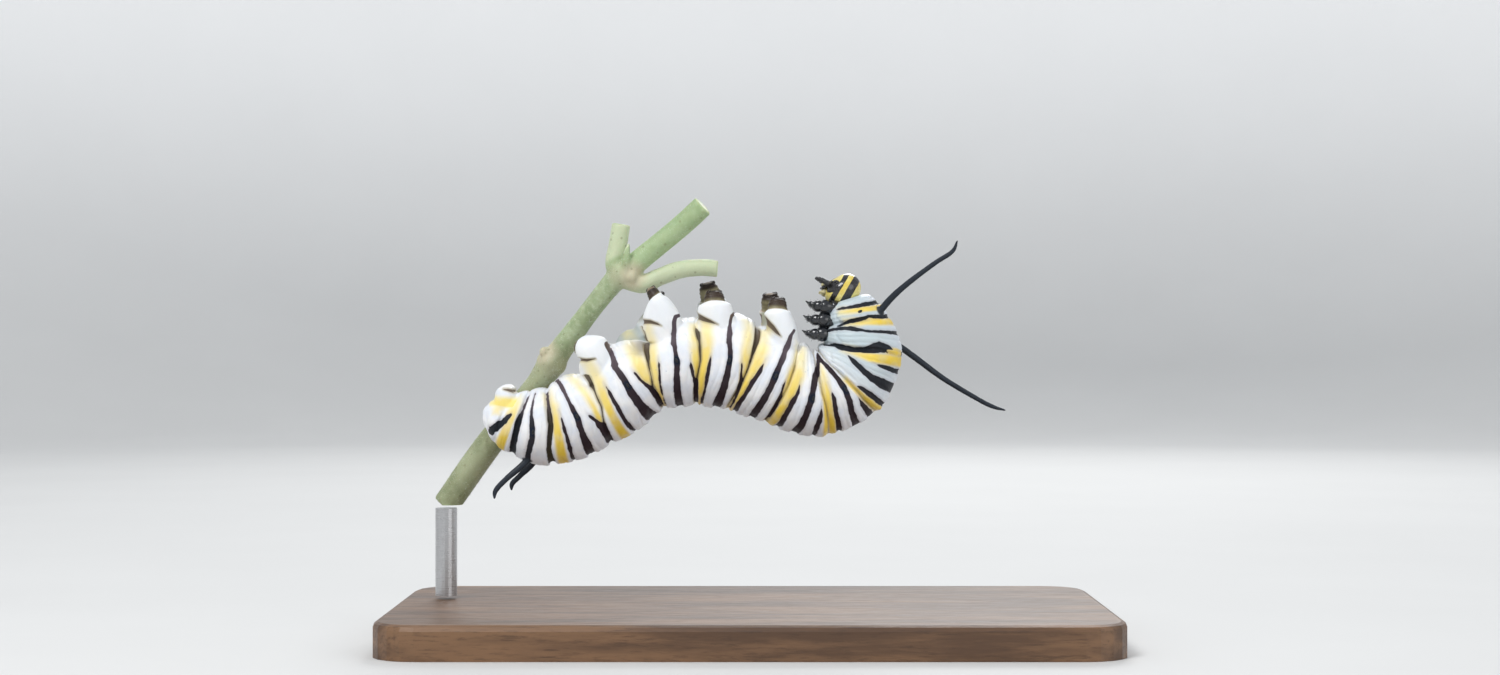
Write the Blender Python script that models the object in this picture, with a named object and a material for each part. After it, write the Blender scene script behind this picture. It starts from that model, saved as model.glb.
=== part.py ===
"""Monarch larva hanging belly up from a cut stem, a still life-size model on a small display stand.

Sizes are in millimetres and turned into metres where a mesh is made. +Z is up, +X runs from the tail
towards the front of the body, and the larva's left side faces -Y. The origin is under the base's middle.
"""
import math

import bmesh
import bpy
from mathutils import Matrix, Vector

MM = 0.001
GAP = 0.30
MODEL = "monarch_larva"
# Sign of Y on each side of the body.
SIDES = {"left": -1, "right": 1}

# The body's joints from tail to head: belly point (x, z), back point (x, z), width, and middle along Y.
JOINTS = (
    ((-23.40, 21.10), (-23.49, 18.72), 2.5, -1.9),
    ((-21.42, 21.74), (-22.77, 17.55), 4.1, -1.6),
    ((-20.07, 22.19), (-21.42, 16.70), 5.3, -1.1),
    ((-18.27, 22.46), (-17.91, 15.62), 6.5, -0.5),
    ((-14.49, 23.72), (-12.33, 17.60), 7.2, -0.1),
    ((-9.45, 26.42), (-7.74, 20.75), 7.3, 0.0),
    ((-4.59, 28.85), (-4.77, 21.02), 7.6, 0.0),
    ((0.18, 28.13), (-2.07, 20.57), 7.6, 0.0),
    ((4.23, 26.51), (1.44, 19.40), 7.6, 0.0),
    ((5.58, 25.70), (6.75, 18.23), 7.5, 0.0),
    ((6.39, 25.79), (11.61, 20.57), 7.3, 0.0),
    ((6.84, 27.14), (13.68, 25.25), 6.7, 0.0),
    ((6.93, 28.67), (12.51, 28.85), 5.6, 0.0),
    ((7.11, 29.93), (10.53, 31.01), 3.9, 0.0),
)
# Each segment between two joints: how far its belly, its back and its sides swell past them.
SEGMENTS = (
    ("abdomen_10", 0.25, 0.15, 0.15),
    ("abdomen_9", 0.10, 0.20, 0.20),
    ("abdomen_8", 0.15, 0.43, 0.30),
    ("abdomen_7", 0.60, 0.53, 0.35),
    ("abdomen_6", 1.10, 0.45, 0.35),
    ("abdomen_5", 0.70, 0.20, 0.30),
    ("abdomen_4", 0.80, 0.15, 0.30),
    ("abdomen_3", 0.60, 0.15, 0.30),
    ("abdomen_2", 0.15, 0.50, 0.30),
    ("abdomen_1", 0.15, 0.45, 0.30),
    ("thorax_3", 0.50, 0.40, 0.30),
    ("thorax_2", 0.40, 0.35, 0.25),
    ("thorax_1", 0.25, 0.25, 0.20),
)
BODY_SIDES = 28
RING_SHARES = (0.0, 0.09, 0.27, 0.5, 0.73, 0.91, 1.0)
BELLY_SQUARENESS = 0.85
SWELL_POWER = 0.75
TAIL_DOME = ((0.82, 0.22), (0.45, 0.38))

# Walking prolegs, in side view: root inside the body, rim of the white shield, and sole of the foot.
PROLEGS = {
    ("abdomen_6", "left"): ((-13.4, 23.3), (-14.1, 26.4), (-14.5, 27.3)),
    ("abdomen_6", "right"): ((-12.9, 23.5), (-12.9, 26.2), (-12.8, 27.2)),
    ("abdomen_5", "left"): ((-7.6, 27.0), (-8.0, 30.3), (-8.5, 31.4)),
    ("abdomen_5", "right"): ((-8.7, 26.7), (-8.8, 29.9), (-8.8, 31.3)),
    ("abdomen_4", "left"): ((-2.9, 27.0), (-3.15, 29.9), (-3.2, 31.1)),
    ("abdomen_4", "right"): ((-3.1, 27.0), (-3.5, 30.3), (-3.9, 32.0)),
    ("abdomen_3", "left"): ((3.3, 26.2), (2.5, 29.2), (2.6, 30.5)),
    ("abdomen_3", "right"): ((2.9, 26.3), (2.0, 29.5), (1.8, 31.0)),
}
PROLEG_OUT = (1.9, 2.6, 2.1)
PROLEG_SIDES = 14
# Rings of a proleg: share of the way root to shield rim (0 to 1) and rim to sole (1 to 2), half length
# along the body and half thickness across it.
PROLEG_RINGS = (
    (0.0, 1.75, 1.45), (0.45, 1.65, 1.35), (0.85, 1.42, 1.15), (1.0, 1.22, 0.98),
    (1.12, 1.02, 0.84), (1.55, 0.98, 0.80), (1.88, 0.80, 0.62), (2.0, 0.40, 0.30),
)
ANAL_RINGS = (
    (0.0, 1.10, 1.00), (0.5, 1.05, 0.95), (0.9, 0.95, 0.85), (1.2, 0.85, 0.75),
    (1.6, 0.75, 0.62), (1.88, 0.55, 0.45), (2.0, 0.26, 0.22),
)
# Anal claspers: root, bend and sole as (x, y, z).
ANAL_PROLEGS = {
    "left": ((-22.2, -2.5, 20.3), (-22.1, -2.6, 22.1), (-21.7, -0.6, 22.5)),
    "right": ((-22.3, -0.9, 20.6), (-22.5, 0.6, 21.9), (-22.1, 2.7, 21.9)),
}

# Legs of the thorax: root in side view, its distance from the middle plane, and the way the leg leans.
LEGS = {
    "thorax_3": ((7.6, 27.3), 1.05, (-1.0, 0.0)),
    "thorax_2": ((7.7, 28.5), 0.95, (-1.0, 0.05)),
    "thorax_1": ((7.9, 29.6), 0.85, (-1.0, 0.12)),
}
LEG_LENGTH = 2.9
LEG_SPREAD = 0.55
# How far the claw hooks down at the leg's tip, and the share of the leg where the hook starts.
LEG_HOOK = 0.35
LEG_HOOK_START = 0.6
LEG_RADII = ((0.0, 0.66), (0.30, 0.62), (0.38, 0.52), (0.46, 0.53), (0.60, 0.46), (0.66, 0.37),
             (0.74, 0.38), (0.84, 0.30), (0.88, 0.25), (0.95, 0.20), (1.0, 0.09))

# Fleshy filaments: root and the points that the filament passes, as (x, y, z).
FILAMENTS = {
    "filament_front_left": ((10.9, -1.2, 28.4), (12.4, -2.0, 30.3), (14.0, -2.7, 31.8), (16.4, -3.4, 33.6),
                            (17.9, -3.8, 34.6), (18.35, -4.0, 35.6)),
    "filament_front_right": ((11.4, 1.2, 27.4), (14.0, 2.3, 25.9), (17.6, 3.4, 23.3), (20.8, 4.2, 21.4),
                             (22.3, 4.5, 20.65), (23.5, 4.7, 20.3)),
    "filament_rear_left": ((-19.6, -1.9, 16.9), (-20.0, -2.1, 15.9), (-21.7, -2.6, 14.4), (-22.6, -2.8, 13.4),
                           (-22.7, -2.9, 12.7)),
    "filament_rear_right": ((-19.4, -0.1, 16.9), (-19.6, 0.3, 15.7), (-20.8, 0.9, 14.5), (-21.5, 1.2, 13.8),
                            (-21.6, 1.3, 13.2)),
}
FRONT_FILAMENT_RADII = (0.36, 0.34, 0.30, 0.26, 0.24, 0.13)
REAR_FILAMENT_RADII = (0.34, 0.33, 0.27, 0.25, 0.13)

# Head capsule in head coordinates (towards its left, ahead, up towards the back): half sizes, how far its
# middle lies ahead of the neck joint, and how far it bows towards the belly.
HEAD_HALF = (1.78, 1.50, 1.75)
HEAD_AHEAD = 0.95
HEAD_BOW = math.radians(12)
HEAD_SIDES = 20
HEAD_RINGS = 12
# The groove between the capsule's halves: its depth and half width as shares of the capsule's size, and how
# far it runs down the face.
HEAD_GROOVE = 0.06
HEAD_GROOVE_WIDTH = 0.2
HEAD_GROOVE_END = 0.1
FACE_FLATNESS = 0.16
# The arc of small eyes: its middle (ahead, up), its half axes, and where on it each eye sits.
STEMMA_RADIUS = 0.17
STEMMA_ARC = (0.82, -0.62, 0.34, 0.42)
STEMMA_DEGREES = (-75, -33, 9, 51, 93)
# Mouth pieces of one side or the middle: place and half sizes.
LABRUM = ((0.0, 1.22, -1.12), (0.62, 0.32, 0.34))
LABIUM = ((0.0, 0.55, -1.66), (0.40, 0.36, 0.34))
MANDIBLE = ((0.42, 1.12, -1.45), (0.40, 0.34, 0.36))
PALP = ((0.62, 0.62, -1.62), (0.24, 0.24, 0.40))
ANTENNA = ((1.12, 1.30, -1.02, 0.27), (1.22, 1.62, -1.22, 0.25), (1.28, 1.92, -1.42, 0.25),
           (1.30, 2.16, -1.62, 0.12))

# Cut stem and the two leaf stalks at its node: axis points (x, y, z) and radius.
STEM = (
    ((-27.90, 4.70, 11.65), 1.24), ((-24.30, 3.75, 16.70), 1.26), ((-21.87, 3.05, 19.76), 1.16),
    ((-19.53, 2.45, 22.46), 1.12), ((-18.25, 2.05, 24.30), 1.22), ((-17.10, 1.70, 25.97), 1.08),
    ((-14.76, 1.00, 29.03), 0.94), ((-12.50, 0.40, 31.80), 1.00), ((-11.70, 0.20, 32.55), 1.20),
    ((-10.90, 0.05, 33.15), 1.16), ((-10.00, -0.10, 33.90), 1.00), ((-6.10, -0.60, 37.10), 0.98),
    ((-4.20, -1.00, 38.80), 0.98),
)
PETIOLE = (
    ((-11.20, 0.10, 32.30), 0.95), ((-9.70, 0.05, 31.85), 0.86), ((-8.10, 0.0, 32.45), 0.80),
    ((-6.30, 0.0, 33.10), 0.80), ((-4.50, 0.0, 33.30), 0.78), ((-2.90, 0.0, 33.20), 0.76),
)
UPPER_PETIOLE = (
    ((-11.85, 0.20, 32.90), 1.00), ((-12.10, 0.30, 33.90), 0.96), ((-11.90, 0.35, 35.30), 0.84),
    ((-11.60, 0.40, 37.20), 0.84),
)

# Edge of the block that cuts the stem's foot level.
FOOT_CUT = 6.0

BASE_SIZE = (64.0, 34.0, 3.0)
BASE_CORNER = 4.0
BASE_CORNER_STEPS = 5
BASE_EDGE = 0.5
BASE_EDGE_STEPS = 2
ROD_RADIUS = 1.0
ROD_SIDES = 20

# Roughness of each kind of surface.
SOFT_SKIN = 0.45
GLOSSY = 0.25
SATIN = 0.35
DULL = 0.55

SKIN_WHITE = (0.80, 0.80, 0.76)
SKIN_CREAM = (0.80, 0.72, 0.36)
HORN_BLACK = (0.020, 0.022, 0.028)
HEAD_YELLOW = (0.62, 0.52, 0.10)
STEM_GREEN = (0.26, 0.36, 0.14)
STAND_GREY = (0.55, 0.54, 0.50)


def clear_scene():
    for obj in list(bpy.data.objects):
        bpy.data.objects.remove(obj, do_unlink=True)


def new_collection(name):
    group = bpy.data.collections.new(name)
    bpy.context.scene.collection.children.link(group)
    return group


def finish(obj, colour, roughness, coat=0.0):
    """Give an object a material of its own."""
    material = bpy.data.materials.new(obj.name)
    material.use_nodes = True
    shader = material.node_tree.nodes["Principled BSDF"]
    shader.inputs["Base Color"].default_value = (*colour, 1.0)
    shader.inputs["Roughness"].default_value = roughness
    shader.inputs["Metallic"].default_value = 0.0
    shader.inputs["Coat Weight"].default_value = coat
    obj.data.materials.clear()
    obj.data.materials.append(material)
    return obj


def object_from(bm, name, group):
    """Turn a bmesh in millimetres into a closed, smooth-shaded object in metres."""
    bmesh.ops.triangulate(bm, faces=bm.faces[:])
    bmesh.ops.recalc_face_normals(bm, faces=bm.faces[:])
    bmesh.ops.scale(bm, vec=(MM, MM, MM), verts=bm.verts[:])
    mesh = bpy.data.meshes.new(name)
    bm.to_mesh(mesh)
    bm.free()
    mesh.shade_smooth()
    obj = bpy.data.objects.new(name, mesh)
    group.objects.link(obj)
    return obj


def loft(name, rings, group):
    """Join closed rings of equal count into one capped body."""
    bm = bmesh.new()
    loops = [[bm.verts.new(place) for place in ring] for ring in rings]
    for first, second in zip(loops, loops[1:]):
        for k in range(len(first)):
            after = (k + 1) % len(first)
            bm.faces.new((first[k], first[after], second[after], second[k]))
    bm.faces.new(loops[0][::-1])
    bm.faces.new(loops[-1])
    return object_from(bm, name, group)


def smooth_path(knots, steps):
    """Points of a smooth curve through the knots; a knot may carry more values than its place."""
    padded = [[2 * a - b for a, b in zip(knots[0], knots[1])], *knots,
              [2 * a - b for a, b in zip(knots[-1], knots[-2])]]
    path = []
    for p0, p1, p2, p3 in zip(padded, padded[1:], padded[2:], padded[3:]):
        for step in range(steps):
            t = step / steps
            path.append([0.5 * (2 * b + (c - a) * t + (2 * a - 5 * b + 4 * c - d) * t ** 2
                                + (3 * b - a - 3 * c + d) * t ** 3)
                         for a, b, c, d in zip(p0, p1, p2, p3)])
    path.append(list(knots[-1]))
    return path


def tube(name, knots, group, steps=3, bevel_resolution=2):
    """A round tube along a smooth path; each knot is x, y, z and radius."""
    path = smooth_path(knots, steps)
    curve = bpy.data.curves.new(name, "CURVE")
    curve.dimensions = "3D"
    curve.bevel_depth = MM
    curve.bevel_resolution = bevel_resolution
    curve.use_fill_caps = True
    curve.render_resolution_u = 0
    spline = curve.splines.new("POLY")
    spline.points.add(len(path) - 1)
    for point, (x, y, z, radius) in zip(spline.points, path):
        point.co = (x * MM, y * MM, z * MM, 1.0)
        point.radius = radius
    bent = bpy.data.objects.new(name, curve)
    group.objects.link(bent)
    graph = bpy.context.evaluated_depsgraph_get()
    mesh = bpy.data.meshes.new_from_object(bent.evaluated_get(graph))
    bpy.data.objects.remove(bent, do_unlink=True)
    bm = bmesh.new()
    bm.from_mesh(mesh)
    bpy.data.meshes.remove(mesh)
    bmesh.ops.remove_doubles(bm, verts=bm.verts[:], dist=0.001 * MM)
    bmesh.ops.scale(bm, vec=(1 / MM, 1 / MM, 1 / MM), verts=bm.verts[:])
    return object_from(bm, name, group)


def keep_largest(obj):
    """Drop every closed surface of a mesh but its largest one."""
    bm = bmesh.new()
    bm.from_mesh(obj.data)
    bmesh.ops.remove_doubles(bm, verts=bm.verts[:], dist=0.001 * MM)
    bmesh.ops.dissolve_degenerate(bm, dist=0.001 * MM, edges=bm.edges[:])
    waiting = set(bm.faces)
    islands = []
    while waiting:
        island = {waiting.pop()}
        edge_front = list(island)
        while edge_front:
            for edge in edge_front.pop().edges:
                for face in edge.link_faces:
                    if face in waiting:
                        waiting.discard(face)
                        island.add(face)
                        edge_front.append(face)
        islands.append(island)
    islands.sort(key=lambda island: sum(face.calc_area() for face in island))
    scraps = [face for island in islands[:-1] for face in island]
    bmesh.ops.delete(bm, geom=scraps, context="FACES")
    bmesh.ops.triangulate(bm, faces=bm.faces[:])
    bm.to_mesh(obj.data)
    bm.free()
    obj.data.shade_smooth()


def settle(obj):
    """Apply an object's modifiers and keep its largest closed surface."""
    graph = bpy.context.evaluated_depsgraph_get()
    mesh = bpy.data.meshes.new_from_object(obj.evaluated_get(graph))
    obj.modifiers.clear()
    obj.data = mesh
    keep_largest(obj)
    return obj


def cut(obj, cutters):
    """Cut an object clear of each cutter in turn."""
    for cutter in cutters:
        trim = obj.modifiers.new(cutter.name, "BOOLEAN")
        trim.operation = "DIFFERENCE"
        trim.object = cutter
    return settle(obj)


def fuse(obj, pieces):
    """Join closed pieces to an object in one union and remove them."""
    group = bpy.data.collections.new(obj.name + "_pieces")
    for piece in pieces:
        group.objects.link(piece)
    union = obj.modifiers.new("union", "BOOLEAN")
    union.operation = "UNION"
    union.operand_type = "COLLECTION"
    union.collection = group
    settle(obj)
    for piece in pieces:
        bpy.data.objects.remove(piece, do_unlink=True)
    bpy.data.collections.remove(group)
    return obj


def hide_cutter(obj):
    obj.hide_render = True
    obj.display_type = "WIRE"
    return obj


def signed_power(value, power):
    return math.copysign(abs(value) ** power, value)


def joint_vectors(joint):
    """Belly point, back point and forward direction of a joint, in side view."""
    belly = Vector(joint[0])
    back = Vector(joint[1])
    across = (back - belly).normalized()
    return belly, back, Vector((-across[1], across[0]))


def body_ring(index, share, grow=0.0):
    """Ring of points round the body at a share of the way along one segment."""
    first, last = JOINTS[index], JOINTS[index + 1]
    belly_a, back_a, ahead_a = joint_vectors(first)
    belly_b, back_b, ahead_b = joint_vectors(last)
    inset = GAP / 2 - grow
    belly = (belly_a + ahead_a * inset).lerp(belly_b - ahead_b * inset, share)
    back = (back_a + ahead_a * inset).lerp(back_b - ahead_b * inset, share)
    width = first[2] + (last[2] - first[2]) * share
    middle_y = first[3] + (last[3] - first[3]) * share
    hump = math.sin(math.pi * share) ** SWELL_POWER
    belly_swell, back_swell, side_swell = SEGMENTS[index][1:]
    across = (back - belly).normalized()
    belly = belly - across * (belly_swell * hump + grow)
    back = back + across * (back_swell * hump + grow)
    middle = (belly + back) / 2
    half_height = (back - belly).length / 2
    half_width = width / 2 + side_swell * hump + grow
    ring = []
    for k in range(BODY_SIDES):
        angle = 2 * math.pi * k / BODY_SIDES
        rise = math.cos(angle)
        side = math.sin(angle)
        if rise < 0:
            rise = signed_power(rise, BELLY_SQUARENESS)
            side = signed_power(side, BELLY_SQUARENESS)
        place = middle + across * (half_height * rise)
        ring.append(Vector((place[0], middle_y - half_width * side, place[1])))
    return ring


def shrink_ring(ring, scale, shift):
    middle = sum(ring, Vector()) / len(ring)
    return [middle + (place - middle) * scale + shift for place in ring]


def body_segment(index, group, name=None, grow=0.0):
    """One segment of the body, with a domed end on the last one."""
    rings = [body_ring(index, share, grow) for share in RING_SHARES]
    if index == 0:
        ahead = joint_vectors(JOINTS[0])[2]
        for scale, reach in TAIL_DOME:
            shift = Vector((-ahead[0], 0.0, -ahead[1])) * reach
            rings.insert(0, shrink_ring(body_ring(0, 0.0, grow), scale, shift))
    return loft(name or SEGMENTS[index][0], rings, group)


def body_clearance(group):
    """Each segment grown by the gap, to cut what grows from the body clear of it."""
    grown = {}
    for index, (name, *_) in enumerate(SEGMENTS):
        cutter = body_segment(index, group, "clear_" + name, GAP)
        grown[name] = hide_cutter(cutter)
    return grown


def around(grown, name):
    """The grown solids of a segment and of its neighbours."""
    names = [row[0] for row in SEGMENTS]
    index = names.index(name)
    return [grown[key] for key in names[max(index - 1, 0):index + 2]]


def limb_ring(middle, along, across, half_length, half_thickness):
    ring = []
    for k in range(PROLEG_SIDES):
        angle = 2 * math.pi * k / PROLEG_SIDES
        reach = along * (half_length * math.cos(angle))
        ring.append(middle + reach + across * (half_thickness * math.sin(angle)))
    return ring


def limb(name, stops, sections, group):
    """A fleshy limb through three stops; its sections lie square to its own path."""
    root, bend, sole = (Vector(stop) for stop in stops)
    rings = []
    for share, half_length, half_thickness in sections:
        middle = root.lerp(bend, share) if share <= 1 else bend.lerp(sole, share - 1)
        turn = min(max(share - 0.5, 0.0), 1.0)
        path = (bend - root).normalized().lerp((sole - bend).normalized(), turn).normalized()
        along = Vector((1.0, 0.0, 0.0))
        along = (along - path * along.dot(path)).normalized()
        across = path.cross(along)
        rings.append(limb_ring(middle, along, across, half_length, half_thickness))
    return loft(name, rings, group)


def build_prolegs(group, grown, perch):
    for (segment, side), stops in PROLEGS.items():
        sign = SIDES[side]
        bent = [(x, sign * out, z) for (x, z), out in zip(stops, PROLEG_OUT)]
        number = segment[-1]
        foot = limb("proleg_%s_%s" % (number, side), bent, PROLEG_RINGS, group)
        cut(foot, around(grown, segment) + perch)
        finish(foot, SKIN_WHITE, SOFT_SKIN)
    for side, stops in ANAL_PROLEGS.items():
        foot = limb("proleg_anal_" + side, stops, ANAL_RINGS, group)
        cut(foot, around(grown, "abdomen_10") + perch)
        finish(foot, SKIN_WHITE, SOFT_SKIN)


def build_legs(group, grown):
    for segment, (root, out, lean) in LEGS.items():
        ahead = Vector((lean[0], 0.0, lean[1])).normalized()
        for side, sign in SIDES.items():
            start = Vector((root[0], sign * out, root[1]))
            knots = []
            for share, radius in LEG_RADII:
                spread = sign * LEG_SPREAD * math.sin(math.pi * share)
                hook = LEG_HOOK * (max(share - LEG_HOOK_START, 0.0) / (1 - LEG_HOOK_START)) ** 2
                place = start + ahead * (LEG_LENGTH * share) + Vector((0.0, spread, hook))
                knots.append((*place, radius))
            leg = tube("leg_%s_%s" % (segment[-1], side), knots, group, steps=1)
            cut(leg, around(grown, segment))
            finish(leg, HORN_BLACK, GLOSSY, coat=0.5)


def build_filaments(group, grown):
    for name, places in FILAMENTS.items():
        front = "front" in name
        radii = FRONT_FILAMENT_RADII if front else REAR_FILAMENT_RADII
        knots = [(*place, radius) for place, radius in zip(places, radii)]
        filament = tube(name, knots, group)
        cut(filament, around(grown, "thorax_2" if front else "abdomen_8"))
        finish(filament, HORN_BLACK, SOFT_SKIN)


def head_frame():
    """Turns head coordinates (left, ahead, up towards the back) into the model's place."""
    belly, back, ahead = joint_vectors(JOINTS[-1])
    turn = Matrix.Rotation(HEAD_BOW, 2)
    ahead = turn @ ahead
    up = Vector((ahead[1], -ahead[0]))
    middle = (belly + back) / 2 + ahead * HEAD_AHEAD
    left = Vector((0.0, -1.0, 0.0))
    ahead3 = Vector((ahead[0], 0.0, ahead[1]))
    up3 = Vector((up[0], 0.0, up[1]))
    frame = Matrix((left, ahead3, up3)).transposed().to_4x4()
    frame.translation = Vector((middle[0], 0.0, middle[1]))
    return frame


def head_shape(place):
    """A point of the unit ball, moved to shape the capsule, with a groove between its halves."""
    x, y, z = place
    groove = math.exp(-(x / HEAD_GROOVE_WIDTH) ** 2) * max(z + HEAD_GROOVE_END, 0.0)
    face = max(y, 0.0) * (1 - abs(z))
    x, y, z = Vector((x, y, z)) * (1 - HEAD_GROOVE * groove)
    return Vector((x * HEAD_HALF[0], y * HEAD_HALF[1] * (1 - FACE_FLATNESS * face), z * HEAD_HALF[2]))


def ball(name, row, sign, frame, group, sides=10, rings=6):
    """An ellipsoid in head coordinates, from its place and half sizes."""
    (x, y, z), half = row
    bm = bmesh.new()
    bmesh.ops.create_uvsphere(bm, u_segments=sides, v_segments=rings, radius=1.0)
    place = Matrix.Translation((sign * x, y, z)) @ Matrix.Diagonal((*half, 1.0))
    bmesh.ops.transform(bm, matrix=frame @ place, verts=bm.verts[:])
    return object_from(bm, name, group)


def stemma_row(degrees):
    """Place and half sizes of one of the small eyes, set in an arc on the cheek."""
    ahead, up, reach_ahead, reach_up = STEMMA_ARC
    swing = math.radians(degrees)
    y = ahead + reach_ahead * math.cos(swing)
    z = up + reach_up * math.sin(swing)
    x = HEAD_HALF[0] * math.sqrt(1 - (y / HEAD_HALF[1]) ** 2 - (z / HEAD_HALF[2]) ** 2)
    return (x, y, z), (STEMMA_RADIUS,) * 3


def build_head(group, grown):
    frame = head_frame()
    bm = bmesh.new()
    bmesh.ops.create_uvsphere(bm, u_segments=HEAD_SIDES, v_segments=HEAD_RINGS, radius=1.0)
    for vert in bm.verts:
        vert.co = frame @ head_shape(vert.co)
    head = object_from(bm, "head", group)
    pieces = [ball("labrum", LABRUM, 1, frame, group), ball("labium", LABIUM, 1, frame, group)]
    for sign in SIDES.values():
        pieces.append(ball("mandible", MANDIBLE, sign, frame, group))
        pieces.append(ball("palp", PALP, sign, frame, group, 8))
        for degrees in STEMMA_DEGREES:
            pieces.append(ball("stemma", stemma_row(degrees), sign, frame, group, 6, 4))
    fuse(head, pieces)
    cut(head, [grown["thorax_1"]])
    finish(head, HEAD_YELLOW, GLOSSY, coat=0.6)
    return head


def build_antennae(group, head):
    """Short jointed feelers, each starting just clear of the head's face."""
    frame = head_frame()
    middle = frame.translation
    for side, sign in SIDES.items():
        knots = [(*(frame @ Vector((-sign * x, y, z))), radius) for x, y, z, radius in ANTENNA]
        antenna = tube("antenna_" + side, knots, group, steps=2)
        grown_head = head.copy()
        grown_head.data = head.data.copy()
        swell = Matrix.Translation(middle * MM) @ Matrix.Scale(1 + GAP / HEAD_HALF[1], 4)
        grown_head.data.transform(swell @ Matrix.Translation(-middle * MM))
        group.objects.link(grown_head)
        cut(antenna, [grown_head])
        bpy.data.objects.remove(grown_head, do_unlink=True)
        finish(antenna, HORN_BLACK, SATIN)


def stalk(name, rows, group, bevel_resolution, grow=0.0):
    """A stem or leaf stalk through its axis points."""
    return tube(name, [(*place, radius + grow) for place, radius in rows], group, 2, bevel_resolution)


def build_perch(group, cutters):
    stem = stalk("perch_stem", STEM, group, 4)
    foot = Vector(STEM[0][0])
    bm = bmesh.new()
    bmesh.ops.create_cube(bm, size=FOOT_CUT, matrix=Matrix.Translation(foot - Vector((0, 0, FOOT_CUT / 2))))
    floor = hide_cutter(object_from(bm, "stem_foot_cut", cutters))
    cut(stem, [floor])
    finish(stem, STEM_GREEN, DULL)
    grown_stem = hide_cutter(stalk("clear_stem", STEM, cutters, 4, GAP))
    grown_petiole = hide_cutter(stalk("clear_petiole", PETIOLE, cutters, 3, GAP))
    for name, rows in (("perch_petiole", PETIOLE), ("perch_petiole_upper", UPPER_PETIOLE)):
        petiole = stalk(name, rows, group, 3)
        cut(petiole, [grown_stem])
        finish(petiole, STEM_GREEN, DULL)
    return [grown_stem, grown_petiole]


def build_stand(group):
    width, depth, height = BASE_SIZE
    bm = bmesh.new()
    bmesh.ops.create_cube(bm, size=1.0, matrix=Matrix.Translation((0.0, 0.0, height / 2))
                          @ Matrix.Diagonal((width, depth, height, 1.0)))
    upright = [edge for edge in bm.edges if abs(edge.verts[0].co.z - edge.verts[1].co.z) > height / 2]
    bmesh.ops.bevel(bm, geom=upright, offset=BASE_CORNER, segments=BASE_CORNER_STEPS, affect="EDGES",
                    profile=0.5)
    rim = [edge for edge in bm.edges
           if min(vert.co.z for vert in edge.verts) > height / 2 and edge.calc_face_angle(0.0) > 1.0]
    bmesh.ops.bevel(bm, geom=rim, offset=BASE_EDGE, segments=BASE_EDGE_STEPS, affect="EDGES", profile=0.5)
    base = object_from(bm, "stand_base", group)
    finish(base, STAND_GREY, SATIN)
    foot = Vector(STEM[0][0])
    low = height + GAP
    high = foot[2] - GAP
    middle = Matrix.Translation((foot[0], foot[1], (high + low) / 2))
    bm = bmesh.new()
    bmesh.ops.create_cone(bm, cap_ends=True, segments=ROD_SIDES, radius1=ROD_RADIUS, radius2=ROD_RADIUS,
                          depth=high - low, matrix=middle)
    rod = object_from(bm, "stand_rod", group)
    finish(rod, STAND_GREY, SATIN)


def main():
    clear_scene()
    larva = new_collection(MODEL)
    cutters = new_collection("cutters")
    for index in range(len(SEGMENTS)):
        finish(body_segment(index, larva), SKIN_WHITE if index % 2 else SKIN_CREAM, SOFT_SKIN)
    grown = body_clearance(cutters)
    perch = build_perch(larva, cutters)
    build_prolegs(larva, grown, perch)
    build_legs(larva, grown)
    build_filaments(larva, grown)
    head = build_head(larva, grown)
    build_antennae(larva, head)
    build_stand(larva)


main()
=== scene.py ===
"""Looks of the monarch larva: one banded skin, head, legs, cut stem, stand, light and camera.

Shapes are made in millimetres and turned into metres where an object is made. +Z is up, +X runs from the
tail towards the front of the body, and the larva's left side faces -Y, towards the camera.
"""
import math

import bpy
import numpy as np
from mathutils import Matrix, Vector, kdtree


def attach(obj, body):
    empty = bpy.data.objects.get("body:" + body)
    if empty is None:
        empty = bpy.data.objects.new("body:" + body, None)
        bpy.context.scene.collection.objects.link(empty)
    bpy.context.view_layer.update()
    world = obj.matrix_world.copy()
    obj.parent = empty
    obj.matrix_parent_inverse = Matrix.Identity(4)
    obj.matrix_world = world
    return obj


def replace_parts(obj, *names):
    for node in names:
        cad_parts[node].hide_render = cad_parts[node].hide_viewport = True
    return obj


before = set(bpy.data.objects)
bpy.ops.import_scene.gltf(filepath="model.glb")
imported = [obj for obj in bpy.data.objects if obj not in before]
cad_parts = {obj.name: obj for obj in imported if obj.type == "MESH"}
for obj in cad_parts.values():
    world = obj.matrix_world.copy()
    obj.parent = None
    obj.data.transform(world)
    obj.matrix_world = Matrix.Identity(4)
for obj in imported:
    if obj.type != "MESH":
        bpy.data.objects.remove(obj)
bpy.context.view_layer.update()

MM = 0.001
BODY = "root"
SIDES = {"left": -1, "right": 1}

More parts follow.
